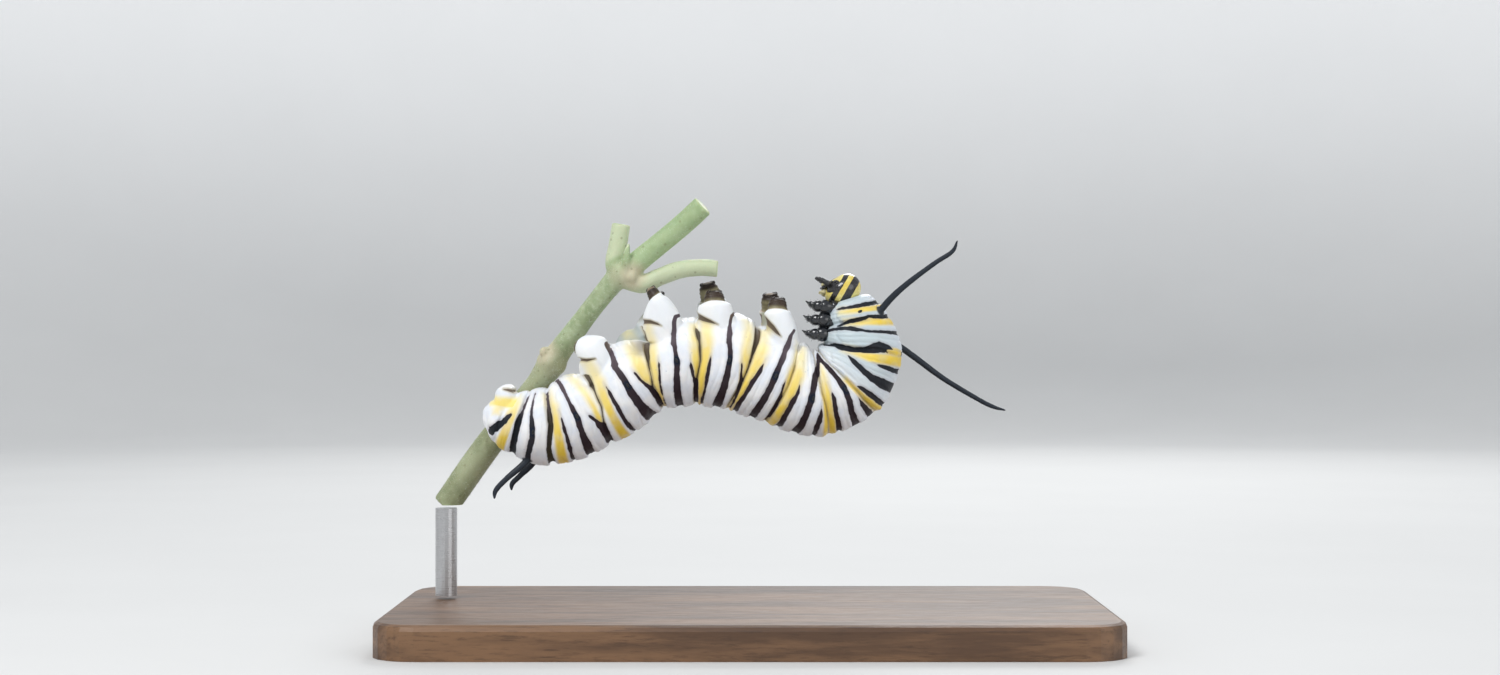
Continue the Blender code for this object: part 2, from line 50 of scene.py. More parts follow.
# The body's joints from tail to head: belly point (x, z), back point (x, z), width, and middle along Y.
JOINTS = (
    ((-23.40, 21.10), (-23.49, 18.72), 2.5, -1.9),
    ((-21.42, 21.74), (-22.77, 17.55), 4.1, -1.6),
    ((-20.07, 22.19), (-21.42, 16.70), 5.3, -1.1),
    ((-18.27, 22.46), (-17.91, 15.62), 6.5, -0.5),
    ((-14.49, 23.72), (-12.33, 17.60), 7.2, -0.1),
    ((-9.45, 26.42), (-7.74, 20.75), 7.3, 0.0),
    ((-4.59, 28.85), (-4.77, 21.02), 7.6, 0.0),
    ((0.18, 28.13), (-2.07, 20.57), 7.6, 0.0),
    ((4.23, 26.51), (1.44, 19.40), 7.6, 0.0),
    ((5.58, 25.70), (6.75, 18.23), 7.5, 0.0),
    ((6.39, 25.79), (11.61, 20.57), 7.3, 0.0),
    ((6.84, 27.14), (13.68, 25.25), 6.7, 0.0),
    ((6.93, 28.67), (12.51, 28.85), 5.6, 0.0),
    ((7.11, 29.93), (10.53, 31.01), 3.9, 0.0),
)
# How far the belly, the back and the sides of each segment swell past its joints, from the tail.
SWELLS = (
    (0.25, 0.15, 0.15), (0.10, 0.20, 0.20), (0.15, 0.43, 0.30), (0.60, 0.53, 0.35), (1.40, 0.45, 0.35),
    (0.75, 0.20, 0.30), (0.95, 0.15, 0.30), (0.60, 0.15, 0.30), (0.45, 0.50, 0.30), (0.30, 0.45, 0.30),
    (0.50, 0.40, 0.30), (0.40, 0.35, 0.25), (0.25, 0.25, 0.20),
)
SEGMENT_NODES = ["abdomen_%d" % k for k in range(10, 0, -1)] + ["thorax_%d" % k for k in (3, 2, 1)]
BELLY, BACK, WIDTH, MIDDLE = (np.array(column) for column in zip(*JOINTS))
SWELL = np.array(SWELLS)
SEGMENTS = len(SWELLS)
KNOTS = np.arange(len(JOINTS))
SEGMENT_MIDDLES = np.arange(SEGMENTS) + 0.5
BELLY_LENGTH = np.linalg.norm(np.diff(BELLY, axis=0), axis=1)
BACK_LENGTH = np.linalg.norm(np.diff(BACK, axis=0), axis=1)
# How far forward of its joint each fold lies, in hundredths of a segment, at turns round the body from back
# (0) to belly (1).
FOLD_TURNS = (0.0, 0.15, 0.28, 0.40, 0.50, 0.60, 0.72, 0.85, 1.0)
FOLD_LEAN = np.array((
    (0,) * 9,
    (0,) * 9,
    (3, 3, 4, 6, 8, 12, 18, 24, 26),
    (4, 4, 2, 6, 10, 8, 6, 4, 3),
    (-2, -2, -2, 2, 6, 3, 0, -10, -12),
    (0, -1, -4, -6, -3, -1, 2, 4, 4),
    (-5, -6, -4, 2, 7, 4, -3, -4, -4),
    (0, 0, 8, 16, 19, 18, 18, 14, 10),
    (0, 1, 3, 11, 18, 22, 20, 15, 10),
    (6, 8, 12, 15, 11, 10, 10, 10, 8),
    (-8, -10, -13, -12, -12, -16, -36, -42, -42),
    (-2, 0, 0, 0, -8, -20, -28, -40, -45),
    (0, 0, 0, -5, -10, -18, -26, -32, -35),
    (0,) * 9,
)) / 100
# The dark line of painted shade in each fold: turns round the body and half width in mm, for the folds between
# these joints.
FOLD_LINE = ((0.0, 0.12, 0.25, 0.50, 0.60, 0.68, 0.75, 0.84, 0.92, 1.0),
             (-0.06, 0.01, 0.045, 0.035, 0.06, 0.15, 0.23, 0.24, 0.08, -0.06))
LINED_JOINTS = (4, 10)
# From this fold on only the soft edge of the painted shade line shows.
FAINT_FROM = 7.5
FAINT_WIDTH = -0.02
BELLY_SQUARENESS = 0.85
SWELL_POWER = 0.75
TAIL_DOME = ((0.97, 0.08), (0.82, 0.22), (0.62, 0.33), (0.45, 0.38))
FOLD_DEPTH = 0.24
FOLD_WIDTH = 0.17
ANNULETS = (0.20, 0.41, 0.60, 0.80)
ANNULET_DEPTH = 0.05
ANNULET_WIDTH = 0.11
STRIPE_DEPTH = 0.07
BACK_GROOVE = 0.13
MARK_DEPTH = 0.10
SHIELD_HEIGHT = 0.07
FOOT_RINGS = 0.022
# Lobes of the side: place in the segment and reach, turn and reach, and height.
LOBES = ((0.80, 0.17, 0.60, 0.11, 0.22), (0.20, 0.15, 0.66, 0.10, 0.132))
CREASE_TURN = 0.70
CREASE_WIDTH = 0.018
CREASE_DEPTH = 0.06
ROWS_PER_SEGMENT = 16
BODY_SIDES = 112
VOXEL = 0.085
# A distance beyond every mark, and what takes the body's marks off the limbs.
FAR = 9.0
OFF_LIMBS = 3.0

# Walking prolegs, in side view: root inside the body, rim of the white shield, and sole of the foot.
PROLEGS = {
    (6, "left"): ((-13.4, 23.3), (-14.0, 25.95), (-15.5, 26.2)),
    (6, "right"): ((-12.9, 23.5), (-13.4, 25.8), (-14.1, 26.6)),
    (5, "left"): ((-7.6, 27.0), (-8.25, 30.3), (-8.9, 31.4)),
    (5, "right"): ((-8.7, 26.7), (-8.35, 29.8), (-8.3, 31.1)),
    (4, "left"): ((-2.9, 27.0), (-3.15, 29.9), (-3.2, 31.1)),
    (4, "right"): ((-3.1, 27.0), (-3.5, 30.3), (-3.9, 32.0)),
    (3, "left"): ((3.2, 26.2), (2.4, 29.2), (2.5, 30.5)),
    (3, "right"): ((2.9, 26.3), (2.0, 29.5), (1.8, 31.0)),
}
# How far these stops lie from the body's middle plane. One near foot bends back to the stem.
PROLEG_OUT = (1.9, 2.6, 2.1)
STEM_PROLEG = (6, "left")
STEM_PROLEG_OUT = (1.9, 2.5, 1.4)
# Each walking proleg's share at the shield's rim, half length at its root and its rim, how far its root
# spreads towards the tail, half length of its foot, and how far its rim climbs towards the head.
PROLEG_FORMS = {
    (6, "left"): (1.60, 1.66, 0.98, 0.0, 0.80, 0.0), (6, "right"): (1.05, 1.62, 1.20, 0.0, 0.80, 0.0),
    (5, "left"): (1.12, 1.84, 0.60, 0.0, 0.58, 0.7), (5, "right"): (1.00, 1.75, 0.75, 0.2, 0.70, 0.0),
    (4, "left"): (1.00, 1.76, 1.40, 0.0, 0.93, 0.0), (4, "right"): (1.00, 1.60, 1.30, 0.0, 0.93, 0.0),
    (3, "left"): (1.00, 1.36, 1.14, 0.0, 0.86, 0.0), (3, "right"): (1.00, 1.40, 1.20, 0.0, 0.90, 0.0),
}
# Sections: part of the way to the rim, part of the change from root to rim, and half thickness; then part of
# the way from rim to sole, share of the foot's half length, and half thickness.
SHIELD_SECTIONS = ((0.0, 0.0, 1.45), (0.40, 0.08, 1.36), (0.60, 0.26, 1.28), (0.80, 0.60, 1.20),
                   (1.0, 1.0, 1.06))
FOOT_SECTIONS = ((0.06, 1.18, 0.90), (0.13, 1.0, 0.80), (0.35, 1.02, 0.79), (0.60, 0.98, 0.74),
                 (0.82, 0.86, 0.62), (0.95, 0.62, 0.44), (1.0, 0.36, 0.26))
# Sections of an anal proleg, in the way of the walking ones: share, shift, half length, half thickness.
ANAL_RINGS = (
    (0.0, 0.0, 1.00, 1.00), (0.5, 0.0, 0.96, 0.95), (0.9, 0.0, 0.91, 0.85), (1.2, 0.0, 0.84, 0.75),
    (1.6, 0.0, 0.75, 0.62), (1.88, 0.0, 0.55, 0.45), (2.0, 0.0, 0.26, 0.22),
)
# Marks on each left proleg in side view, as (x, z, half width): the main stripe's top, and the dark wedge
# under the shield's tail side, which is painted shadow and also sets the shield's lower edge.
STRIPE_TOPS = {
    6: ((-11.90, 24.60, 0.24), (-12.42, 25.74, 0.22), (-12.75, 26.40, 0.24)),
    5: ((-6.81, 26.50, 0.24), (-6.72, 27.67, 0.19), (-6.77, 28.37, 0.16), (-6.66, 28.84, 0.16),
        (-6.15, 29.03, 0.13)),
    4: ((-1.87, 26.60, 0.24), (-1.82, 27.67, 0.18), (-1.77, 28.55, 0.15), (-1.66, 28.94, 0.16),
        (-1.33, 29.32, 0.12)),
    3: ((3.36, 26.30, 0.22), (3.62, 27.20, 0.19), (3.85, 27.60, 0.14)),
}
WEDGES = {
    6: ((-15.75, 25.12, 0.13), (-15.26, 25.06, 0.13), (-14.49, 24.97, 0.12), (-13.70, 25.10, 0.02)),
    5: ((-10.20, 28.50, 0.22), (-9.63, 28.41, 0.20), (-8.84, 28.37, 0.16), (-8.22, 28.19, 0.09),
        (-7.87, 28.02, 0.0)),
    4: ((-5.10, 29.05, 0.24), (-4.68, 28.90, 0.24), (-4.15, 28.64, 0.21), (-3.54, 28.41, 0.14),
        (-2.83, 28.14, 0.0)),
    3: ((1.06, 28.90, 0.20), (1.47, 28.40, 0.25), (1.99, 27.88, 0.22), (2.39, 27.43, 0.14), (2.74, 27.08, 0.0)),
}
WEDGE_RUN_OUT = 1.2
# Soft skin that bulges between the prolegs of the far side: middle and half sizes.
BULGE = ((-10.45, 1.9, 26.25), (1.75, 1.5, 1.55))
# A dark dash on the near hind proleg, where its foot meets the stem.
HIND_EDGE = ((-21.85, 22.42, 0.05), (-21.50, 22.38, 0.11), (-21.00, 22.25, 0.14))
# Anal prolegs: root, bend and sole as (x, y, z).
ANAL_PROLEGS = {
    "left": ((-21.9, -2.5, 20.3), (-21.75, -2.6, 22.0), (-21.45, -0.6, 22.4)),
    "right": ((-21.9, -0.9, 20.6), (-22.05, 0.6, 21.9), (-21.7, 2.7, 21.9)),
}

# Legs of the thorax: root in side view, its distance from the middle plane, and the way the leg leans.
LEGS = {
    3: ((7.6, 27.3), 1.05, (-1.0, 0.0)),
    2: ((7.7, 28.5), 0.95, (-1.0, 0.05)),
    1: ((7.9, 29.6), 0.85, (-1.0, 0.12)),
}
LEG_LENGTH = 2.9
LEG_SPREAD = 0.55
LEG_HOOK = 0.35
LEG_HOOK_START = 0.6
# Radius of a leg at shares of its way.
LEG_PROFILE = (
    (0.0, 0.74), (0.10, 0.74), (0.22, 0.70), (0.27, 0.56), (0.31, 0.64), (0.40, 0.68), (0.50, 0.60),
    (0.54, 0.44), (0.58, 0.51), (0.66, 0.50), (0.74, 0.40), (0.77, 0.28), (0.80, 0.32), (0.86, 0.26),
    (0.90, 0.14), (0.94, 0.10), (1.0, 0.03),
)
# Hooks of a sole, and the shape of one: share of its size down the limb, and way out along its radius.
HOOKS = 40
HOOK_KNOTS = ((0, 0), (0.20, 0.10), (0.36, 0.04), (0.32, -0.18))

# Fleshy filaments: root and the points that the filament passes, as (x, y, z).
FILAMENTS = {
    "filament_front_left": ((10.9, -1.2, 28.4), (12.4, -2.0, 30.3), (14.0, -2.7, 31.8), (16.4, -3.4, 33.6),
                            (17.9, -3.8, 34.6), (18.35, -4.0, 35.6)),
    "filament_front_right": ((11.4, 1.2, 27.4), (14.0, 2.3, 25.9), (17.6, 3.4, 23.3), (20.8, 4.2, 21.4),
                             (22.3, 4.5, 20.65), (23.5, 4.7, 20.3)),
    "filament_rear_left": ((-19.6, -1.9, 16.9), (-20.0, -2.1, 15.9), (-21.7, -2.6, 14.4), (-22.6, -2.8, 13.4),
                           (-22.7, -2.9, 12.7)),
    "filament_rear_right": ((-19.4, -0.1, 16.9), (-19.6, 0.3, 15.7), (-20.8, 0.9, 14.5), (-21.5, 1.2, 13.8),
                            (-21.6, 1.3, 13.2)),
}
FRONT_FILAMENT_RADII = (0.36, 0.34, 0.30, 0.26, 0.24, 0.13)
REAR_FILAMENT_RADII = (0.34, 0.33, 0.27, 0.25, 0.13)
FILAMENT_TIP = ((0.05, 0.11), (0.09, 0.06))

# Black bands: knots of turn round the body (0 back, 1 belly), station along it and half width in mm, all in
# hundredths.
BLACK_BANDS = (
    ((20, 42, 34), (32, 60, 38), (47, 106, 35), (57, 150, 20), (59, 155, -5)),
    ((0, 204, 28), (34, 206, 22), (51, 208, 22), (60, 214, 12), (80, 226, 10), (85, 229, -8)),
    ((0, 244, 25), (24, 248, 25), (40, 258, 28), (49, 258, 28), (59, 250, 16), (69, 250, 11), (82, 255, 10),
     (87, 257, -8)),
    ((0, 304, 28), (30, 302, 19), (40, 306, 16), (50, 310, 19), (63, 308, 12), (82, 305, 10), (87, 304, -8)),
    ((0, 338, 17), (36, 336, 16), (49, 332, 12), (57, 328, -4)),
    ((0, 366, 44), (24, 364, 38), (37, 362, 28), (49, 360, 28), (58, 352, 16), (70, 344, 16), (91, 328, 16),
     (96, 324, -5)),
    ((0, 398, 26), (21, 398, 32), (34, 396, 36), (41, 390, 16), (47, 382, 12), (51, 377, -8)),
    ((0, 444, 22), (28, 434, 19), (41, 430, 18), (51, 426, 15), (61, 421, -4)),
    ((0, 478, 47), (12, 476, 47), (32, 466, 38), (45, 458, 32), (54, 454, 28), (65, 446, 25), (80, 444, 19),
     (94, 444, 25), (100, 442, 5)),
    ((0, 500, 9), (29, 496, 19), (41, 490, 19), (49, 480, 12), (54, 474, 10), (58, 470, -8)),
    ((0, 505, 10), (22, 508, 10), (39, 510, 13), (54, 518, 12), (60, 520, -8)),
    ((0, 548, 36), (30, 548, 35), (42, 552, 28), (51, 556, 28), (58, 554, 16), (67, 554, 25), (78, 556, 19),
     (93, 562, 24), (100, 560, 5)),
    ((0, 598, 14), (33, 598, 19), (39, 592, 15), (47, 586, 12), (52, 585, -8)),
    ((0, 614, 14), (14, 616, 13), (28, 624, 13), (41, 628, 16), (50, 630, 13), (55, 632, -8)),
    ((0, 666, 44), (16, 668, 44), (32, 676, 35), (42, 676, 28), (51, 674, 22), (56, 670, 19), (62, 664, 24),
     (73, 662, 16), (84, 658, 22), (95, 662, 20), (100, 664, 2)),
    ((0, 702, 8), (30, 712, 10), (41, 713, 15), (50, 704, 12), (54, 700, -8)),
    ((0, 717, 19), (23, 724, 19), (33, 732, 19), (43, 738, 22), (51, 746, 18), (58, 749, -4)),
    ((0, 764, 38), (19, 768, 38), (34, 776, 32), (45, 780, 28), (60, 782, 22), (87, 782, 19), (96, 784, 22),
     (100, 784, 2)),
    ((0, 795, 13), (29, 804, 13), (41, 808, 14), (48, 806, 12), (53, 807, -8)),
    ((0, 818, 25), (28, 828, 22), (38, 834, 22), (47, 844, 18), (55, 847, -4)),
    ((0, 848, 38), (12, 852, 38), (25, 860, 32), (38, 870, 28), (48, 880, 28), (56, 888, 27), (66, 906, 27),
     (76, 928, 22), (84, 944, 12), (88, 950, -8)),
    ((0, 878, 25), (23, 886, 25), (34, 896, 19), (45, 903, -4)),
    ((0, 924, 25), (33, 928, 22), (44, 934, 18), (54, 934, -4)),
    ((0, 952, 38), (27, 956, 28), (38, 964, 25), (47, 970, 27), (54, 970, 26), (64, 964, 26), (74, 948, 22),
     (82, 940, 12), (86, 938, -8)),
    ((0, 982, 34), (15, 982, 32), (28, 982, 22), (39, 986, -4)),
    ((0, 1012, 22), (29, 1008, 25), (39, 1004, 20), (49, 997, -4)),
    ((0, 1045, 47), (26, 1040, 44), (36, 1038, 32), (44, 1040, 28), (53, 1048, 22), (61, 1062, -4)),
    ((0, 1074, 19), (21, 1072, 22), (30, 1070, 18), (40, 1068, -4)),
    ((0, 1108, 25), (22, 1106, 28), (30, 1112, 50), (37, 1112, 55), (45, 1100, 36), (51, 1088, 20),
     (57, 1078, 24), (65, 1072, 28), (74, 1070, 18), (86, 1044, 12), (92, 1035, -8)),
    ((0, 1160, 20), (30, 1160, 14), (46, 1156, 10), (52, 1158, 19), (59, 1158, 22), (69, 1152, 16),
     (83, 1132, 15), (90, 1122, -8)),
    ((0, 1205, 26), (40, 1205, 22), (59, 1186, 14), (70, 1168, 12), (76, 1160, -4)),
    ((0, 1262, 24), (35, 1260, 22), (60, 1258, 16), (80, 1255, -4)),
)
# Yellow bands, told the same way, with softer edges.
YELLOW_BANDS = (
    ((0, 135, 35), (21, 140, 40), (43, 154, 42), (70, 170, 35), (85, 170, 0)),
    ((60, 60, 10), (71, 74, 45), (90, 102, 35), (100, 110, 20)),
    ((0, 322, 33), (20, 322, 33), (38, 322, 28), (48, 320, 25), (60, 318, 19), (80, 302, 14)),
    ((38, 397, 5), (43, 395, 22), (51, 394, 10), (60, 388, 4), (72, 376, 20), (85, 366, 30), (100, 360, 30)),
    ((0, 424, 38), (10, 424, 38), (36, 418, 28), (51, 415, 28), (61, 415, 32), (86, 408, 32)),
    ((42, 495, 5), (48, 488, 30), (56, 486, 38), (75, 480, 40), (95, 480, 30)),
    ((0, 502, 5), (23, 503, 16), (42, 504, 32), (57, 507, 35), (81, 514, 32)),
    ((33, 604, 5), (38, 602, 17), (50, 597, 26), (62, 595, 25), (80, 590, 20)),
    ((0, 605, 22), (14, 607, 25), (37, 615, 30), (51, 619, 32), (62, 618, 36), (80, 614, 30)),
    ((38, 714, 5), (45, 712, 22), (55, 708, 28), (68, 702, 30), (86, 688, 30)),
    ((0, 706, 22), (11, 708, 25), (30, 720, 28), (44, 728, 33), (54, 736, 38), (65, 732, 48), (85, 725, 30)),
    ((33, 808, 5), (41, 814, 15), (51, 815, 20), (63, 817, 19), (77, 812, 16)),
    ((0, 802, 36), (10, 805, 38), (32, 819, 36), (47, 831, 35), (58, 838, 36), (71, 838, 30), (85, 840, 10)),
    ((0, 900, 19), (17, 902, 19), (36, 908, 16), (49, 912, 9), (60, 920, 0)),
    ((0, 913, 28), (12, 914, 28), (33, 918, 27), (48, 922, 20), (58, 928, 12), (70, 930, 0)),
    ((0, 998, 38), (11, 999, 38), (28, 996, 30), (40, 992, 18), (51, 988, 8)),
    ((0, 1090, 30), (9, 1090, 32), (30, 1086, 36), (44, 1078, 30), (54, 1076, 15), (62, 1070, 4)),
    ((0, 1190, 28), (45, 1188, 24), (62, 1180, 10)),
    ((0, 1240, 26), (45, 1240, 24), (65, 1240, 10)),
)
# A yellow spot within the widest black band.
YELLOW_SPOT = (
    ((8, 1108, 14), (18, 1108, 28), (27, 1107, 20), (31, 1106, 10)),
)
# Breathing holes: station along the body and turn round it, and half sizes.
SPIRACLES = ((2.60, 0.46), (3.60, 0.50), (4.57, 0.50), (5.55, 0.52), (6.74, 0.505), (7.82, 0.51), (8.82, 0.46),
             (9.71, 0.46), (12.30, 0.46))
SPIRACLE_HALF = (0.12, 0.22, 0.09)

# Head capsule in head coordinates (towards its left, ahead, up towards the back).
HEAD_HALF = (1.78, 1.50, 1.75)
HEAD_AHEAD = 0.95
HEAD_BOW = math.radians(12)
# Six simple eyes on an arc: its middle and half axes (ahead, up).
EYE_MIDDLE = (0.82, -0.62)
EYE_ARC = (0.34, 0.42)
EYE_DEGREES = (-75, -33, 9, 51, 93, 150)
EYE_RADIUS = 0.125
# Rows of (aside, ahead, up, radius).
PALP = ((0.58, 0.62, -1.42, 0.22), (0.62, 0.70, -1.62, 0.21), (0.63, 0.73, -1.68, 0.15),
        (0.63, 0.78, -1.80, 0.15), (0.63, 0.80, -1.84, 0.10), (0.62, 0.86, -1.98, 0.07))
FEELER = ((1.02, 1.10, -0.92, 0.30), (1.12, 1.30, -1.02, 0.27), (1.15, 1.38, -1.06, 0.22),
          (1.22, 1.62, -1.22, 0.24), (1.25, 1.74, -1.30, 0.23), (1.255, 1.77, -1.32, 0.17),
          (1.28, 1.92, -1.42, 0.20), (1.285, 1.98, -1.47, 0.15), (1.30, 2.16, -1.62, 0.09))

# Cut stem, the two leaf stalks at its node, and a bud there: rows of (x, y, z, radius).
STEM = (
    (-27.9, 4.7, 11.65, 1.24), (-24.3, 3.75, 16.7, 1.26), (-21.87, 3.05, 19.76, 1.16),
    (-19.53, 2.45, 22.46, 1.12), (-18.25, 2.05, 24.3, 1.22), (-17.1, 1.7, 25.97, 1.08),
    (-14.76, 1.0, 29.03, 0.94), (-12.5, 0.4, 31.8, 1.0), (-11.7, 0.2, 32.55, 1.2), (-10.9, 0.05, 33.15, 1.16),
    (-10.0, -0.1, 33.9, 1.0), (-6.1, -0.6, 37.1, 0.98), (-4.2, -1.0, 38.8, 0.98),
)
PETIOLE = (
    (-11.2, 0.1, 32.3, 0.95), (-9.7, 0.05, 31.85, 0.86), (-8.1, 0.0, 32.45, 0.8), (-6.3, 0.0, 33.1, 0.8),
    (-4.5, 0.0, 33.3, 0.78), (-2.9, 0.0, 33.2, 0.76),
)
UPPER_PETIOLE = (
    (-11.85, 0.2, 32.9, 1.0), (-12.1, 0.3, 33.9, 0.96), (-11.9, 0.35, 35.3, 0.84), (-11.6, 0.4, 37.2, 0.84),
)
BUD = ((-11.0, -0.75, 32.9, 0.40), (-11.1, -1.15, 34.0, 0.36), (-10.95, -1.25, 34.9, 0.24),
       (-10.8, -1.2, 35.5, 0.08))
# Swellings of the stem: middle and half sizes along the stem and across it. The third is a leaf's scar.
STEM_SWELLINGS = (
    ((-18.0, 2.0, 24.7), (1.5, 1.32, 1.32)), ((-11.5, 0.15, 32.75), (1.3, 1.28, 1.28)),
    ((-18.55, 1.3, 25.7), (0.42, 0.5, 0.62)), ((-10.6, -0.75, 32.5), (0.5, 0.62, 0.5)),
)
# Hairs of the stem: the way they lean, and their radius at the root.
HAIR_LEAN = (0.2, 0.0, 0.25)
HAIR_RADIUS = 0.011

# Soft lights: place and size in mm, and power in W.
LIGHTS = (
    ("key", (-150.0, -230.0, 340.0), 180.0, 1.08), ("fill", (300.0, -230.0, 120.0), 260.0, 0.26),
    ("rim", (60.0, 330.0, 260.0), 200.0, 0.60),
)


# Number helpers.

def unit(vectors):
    return vectors / np.maximum(np.linalg.norm(vectors, axis=-1, keepdims=True), 1e-12)


def bell(values, width):
    """1 at 0, fading on both sides over a width."""
    return np.exp(-(values / width) ** 2)


def rise(values, low, high):
    """Smooth step from 0 at low to 1 at high."""
    share = np.clip((values - low) / (high - low), 0.0, 1.0)
    return share * share * (3 - 2 * share)


def fall(values, low, high):
    """Smooth step from 1 at low to 0 at high."""
    return rise(-values, -high, -low)


def round_angles(count, start=0.0):
    return np.linspace(start, start + 2 * math.pi, count, endpoint=False)


def value_noise(points, size, seed):
    """Smooth noise from -1 to 1 with features of a size, from a hash of each corner of its grid."""
    grid = np.asarray(points, float) / size + seed * 17.31
    cell = np.floor(grid).astype(np.int64)
    part = grid - cell
    part = part * part * (3 - 2 * part)
    total = 0.0
    for corner in np.ndindex(2, 2, 2):
        lattice = cell + np.array(corner)
        mixed = lattice[:, 0] * 73856093 ^ lattice[:, 1] * 19349663 ^ lattice[:, 2] * 83492791
        mixed = (mixed ^ (mixed >> 13)) * 1274126177 & 0xFFFFFF
        weight = np.prod(np.where(np.array(corner), part, 1 - part), axis=1)
        total = total + weight * (mixed / 0x7FFFFF - 1.0)
    return total


def point_tree(points):
    tree = kdtree.KDTree(len(points))
    for k, point in enumerate(points.tolist()):
        tree.insert(point, k)
    tree.balance()
    return tree


# Mesh helpers. A shape is a pair: its points as an array in millimetres, and its faces as lists of indices.

def join_shapes(shapes):
    starts = np.cumsum([0] + [len(verts) for verts, _ in shapes]).tolist()
    faces = [[k + start for k in poly] for (_, polys), start in zip(shapes, starts) for poly in polys]
    return np.vstack([verts for verts, _ in shapes]), faces


def ring_faces(rows, sides):
    """Quads between rings of equal count."""
    corners = ((0, 0), (0, 1), (1, 1), (1, 0))
    return [[(row + down) * sides + (k + aside) % sides for down, aside in corners]
            for row in range(rows - 1) for k in range(sides)]


def loft(rings):
    """A closed shape through rings of equal count, with a fan at each end."""
    rings = np.asarray(rings, float)
    rows, sides = rings.shape[:2]
    faces = ring_faces(rows, sides)
    first, last = rows * sides, rows * sides + 1
    for k in range(sides):
        after = (k + 1) % sides
        faces += [[first, after, k], [last, first - sides + k, first - sides + after]]
    return np.vstack([rings.reshape(-1, 3), rings[0].mean(0), rings[-1].mean(0)]), faces


def smooth_path(knots, steps):
    """Rows of a smooth curve through the knots; a knot may carry more values than its place."""
    knots = np.asarray(knots, float)
    padded = np.vstack([2 * knots[0] - knots[1], knots, 2 * knots[-1] - knots[-2]])
    path = [0.5 * (2 * b + (c - a) * t + (2 * a - 5 * b + 4 * c - d) * t ** 2
                   + (3 * b - a - 3 * c + d) * t ** 3)
            for a, b, c, d in zip(padded, padded[1:], padded[2:], padded[3:])
            for t in [step / steps for step in range(steps)]]
    return np.array(path + [knots[-1]])


def path_frames(path):
    """Two directions square to a path at each of its points, turning as little as they can."""
    tangents = unit(np.gradient(path, axis=0))
    firsts = [np.cross(tangents[0], (0.3, 0.5, 0.8))]
    for tangent in tangents:
        firsts.append(unit(firsts[-1] - tangent * firsts[-1].dot(tangent)))
    return np.array(firsts[1:]), np.cross(tangents, firsts[1:])


def tube(rows, sides):
    """A closed tube along rows that each hold a place and a radius."""
    rows = np.asarray(rows, float)
    first, second = (way[:, None] for way in path_frames(rows[:, :3]))
    angles = round_angles(sides)[None, :, None]
    ring = first * np.cos(angles) + second * np.sin(angles)
    return loft(rows[:, None, :3] + ring * rows[:, 3, None, None])


def sphere_rings(sides, rings, pole):
    """Rings of a ball of radius 1, the first and the last a small angle away from its poles."""
    lats = np.linspace(pole, math.pi - pole, rings)[:, None]
    swings = round_angles(sides)
    return np.stack([np.sin(lats) * np.cos(swings), np.sin(lats) * np.sin(swings),
                     np.broadcast_to(np.cos(lats), (rings, sides))], -1)


def ball(centre, half, sides=16, rings=10, axes=np.eye(3)):
    """A closed ellipsoid with its half sizes along the given axes."""
    return loft(np.asarray(centre) + sphere_rings(sides, rings, 0.06) * half @ axes)


def add_object(name, verts, faces, material, smooth=True):
    mesh = bpy.data.meshes.new(name)
    mesh.from_pydata((np.asarray(verts) * MM).tolist(), [], faces)
    mesh.validate()
    mesh.update()
    if smooth:
        mesh.shade_smooth()
    mesh.materials.append(material)
    obj = bpy.data.objects.new(name, mesh)
    bpy.context.scene.collection.objects.link(obj)
    return obj


def add_piece(name, shape, material, attributes=None, smooth=True):
    """A piece of the larva or its perch, with values that its material reads at each point."""
    piece = add_object(name, *shape, material, smooth)
    for key, values in (attributes or {}).items():
        layer = piece.data.attributes.new(key, "FLOAT", "POINT")
        layer.data.foreach_set("value", np.ascontiguousarray(values, dtype=np.float32))
    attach(piece, BODY)
    return piece


def remesh(shapes, voxel):
    """One closed surface round overlapping shapes."""
    verts, faces = join_shapes(shapes)
    mesh = bpy.data.meshes.new("rough")
    mesh.from_pydata(verts.tolist(), [], faces)
    obj = bpy.data.objects.new("rough", mesh)
    bpy.context.scene.collection.objects.link(obj)
    wrap = obj.modifiers.new("wrap", "REMESH")
    wrap.mode = "VOXEL"
    wrap.voxel_size = voxel
    result = bpy.data.meshes.new_from_object(obj.evaluated_get(bpy.context.evaluated_depsgraph_get()))
    bpy.data.objects.remove(obj, do_unlink=True)
    points = np.empty(len(result.vertices) * 3)
    result.vertices.foreach_get("co", points)
    corners = np.empty(len(result.loops), dtype=np.int64)
    result.loops.foreach_get("vertex_index", corners)
    bpy.data.meshes.remove(result)
    return points.reshape(-1, 3), corners.reshape(-1, 4)


def relax(values, quads, weights, rounds):
    """Pull each point, or each value, towards the middle of its neighbours, as far as its weight says."""
    edges = np.vstack([quads[:, [k, (k + 1) % 4]] for k in range(4)])
    ends = np.concatenate([edges[:, 0], edges[:, 1]])
    others = np.concatenate([edges[:, 1], edges[:, 0]])
    rows = values.reshape(len(values), -1)
    count = np.bincount(ends, minlength=len(rows))[:, None]
    weights = np.reshape(weights, (-1, 1))
    for _ in range(rounds):
        total = np.stack([np.bincount(ends, column[others], len(rows)) for column in rows.T], 1)
        rows = rows + (total / count - rows) * weights
    return rows.reshape(values.shape)


def point_normals(points, quads):
    across = np.cross(points[quads[:, 2]] - points[quads[:, 0]], points[quads[:, 3]] - points[quads[:, 1]])
    total = np.zeros_like(points)
    for corner in range(4):
        for axis in range(3):
            total[:, axis] += np.bincount(quads[:, corner], across[:, axis], len(points))
    return unit(total)


# The body's surface. A place on it is a station, counted in segments from the tail, and an angle from the
# middle of the back, positive on the left side. A turn is the angle's size: 0 on the back, 1 on the belly.

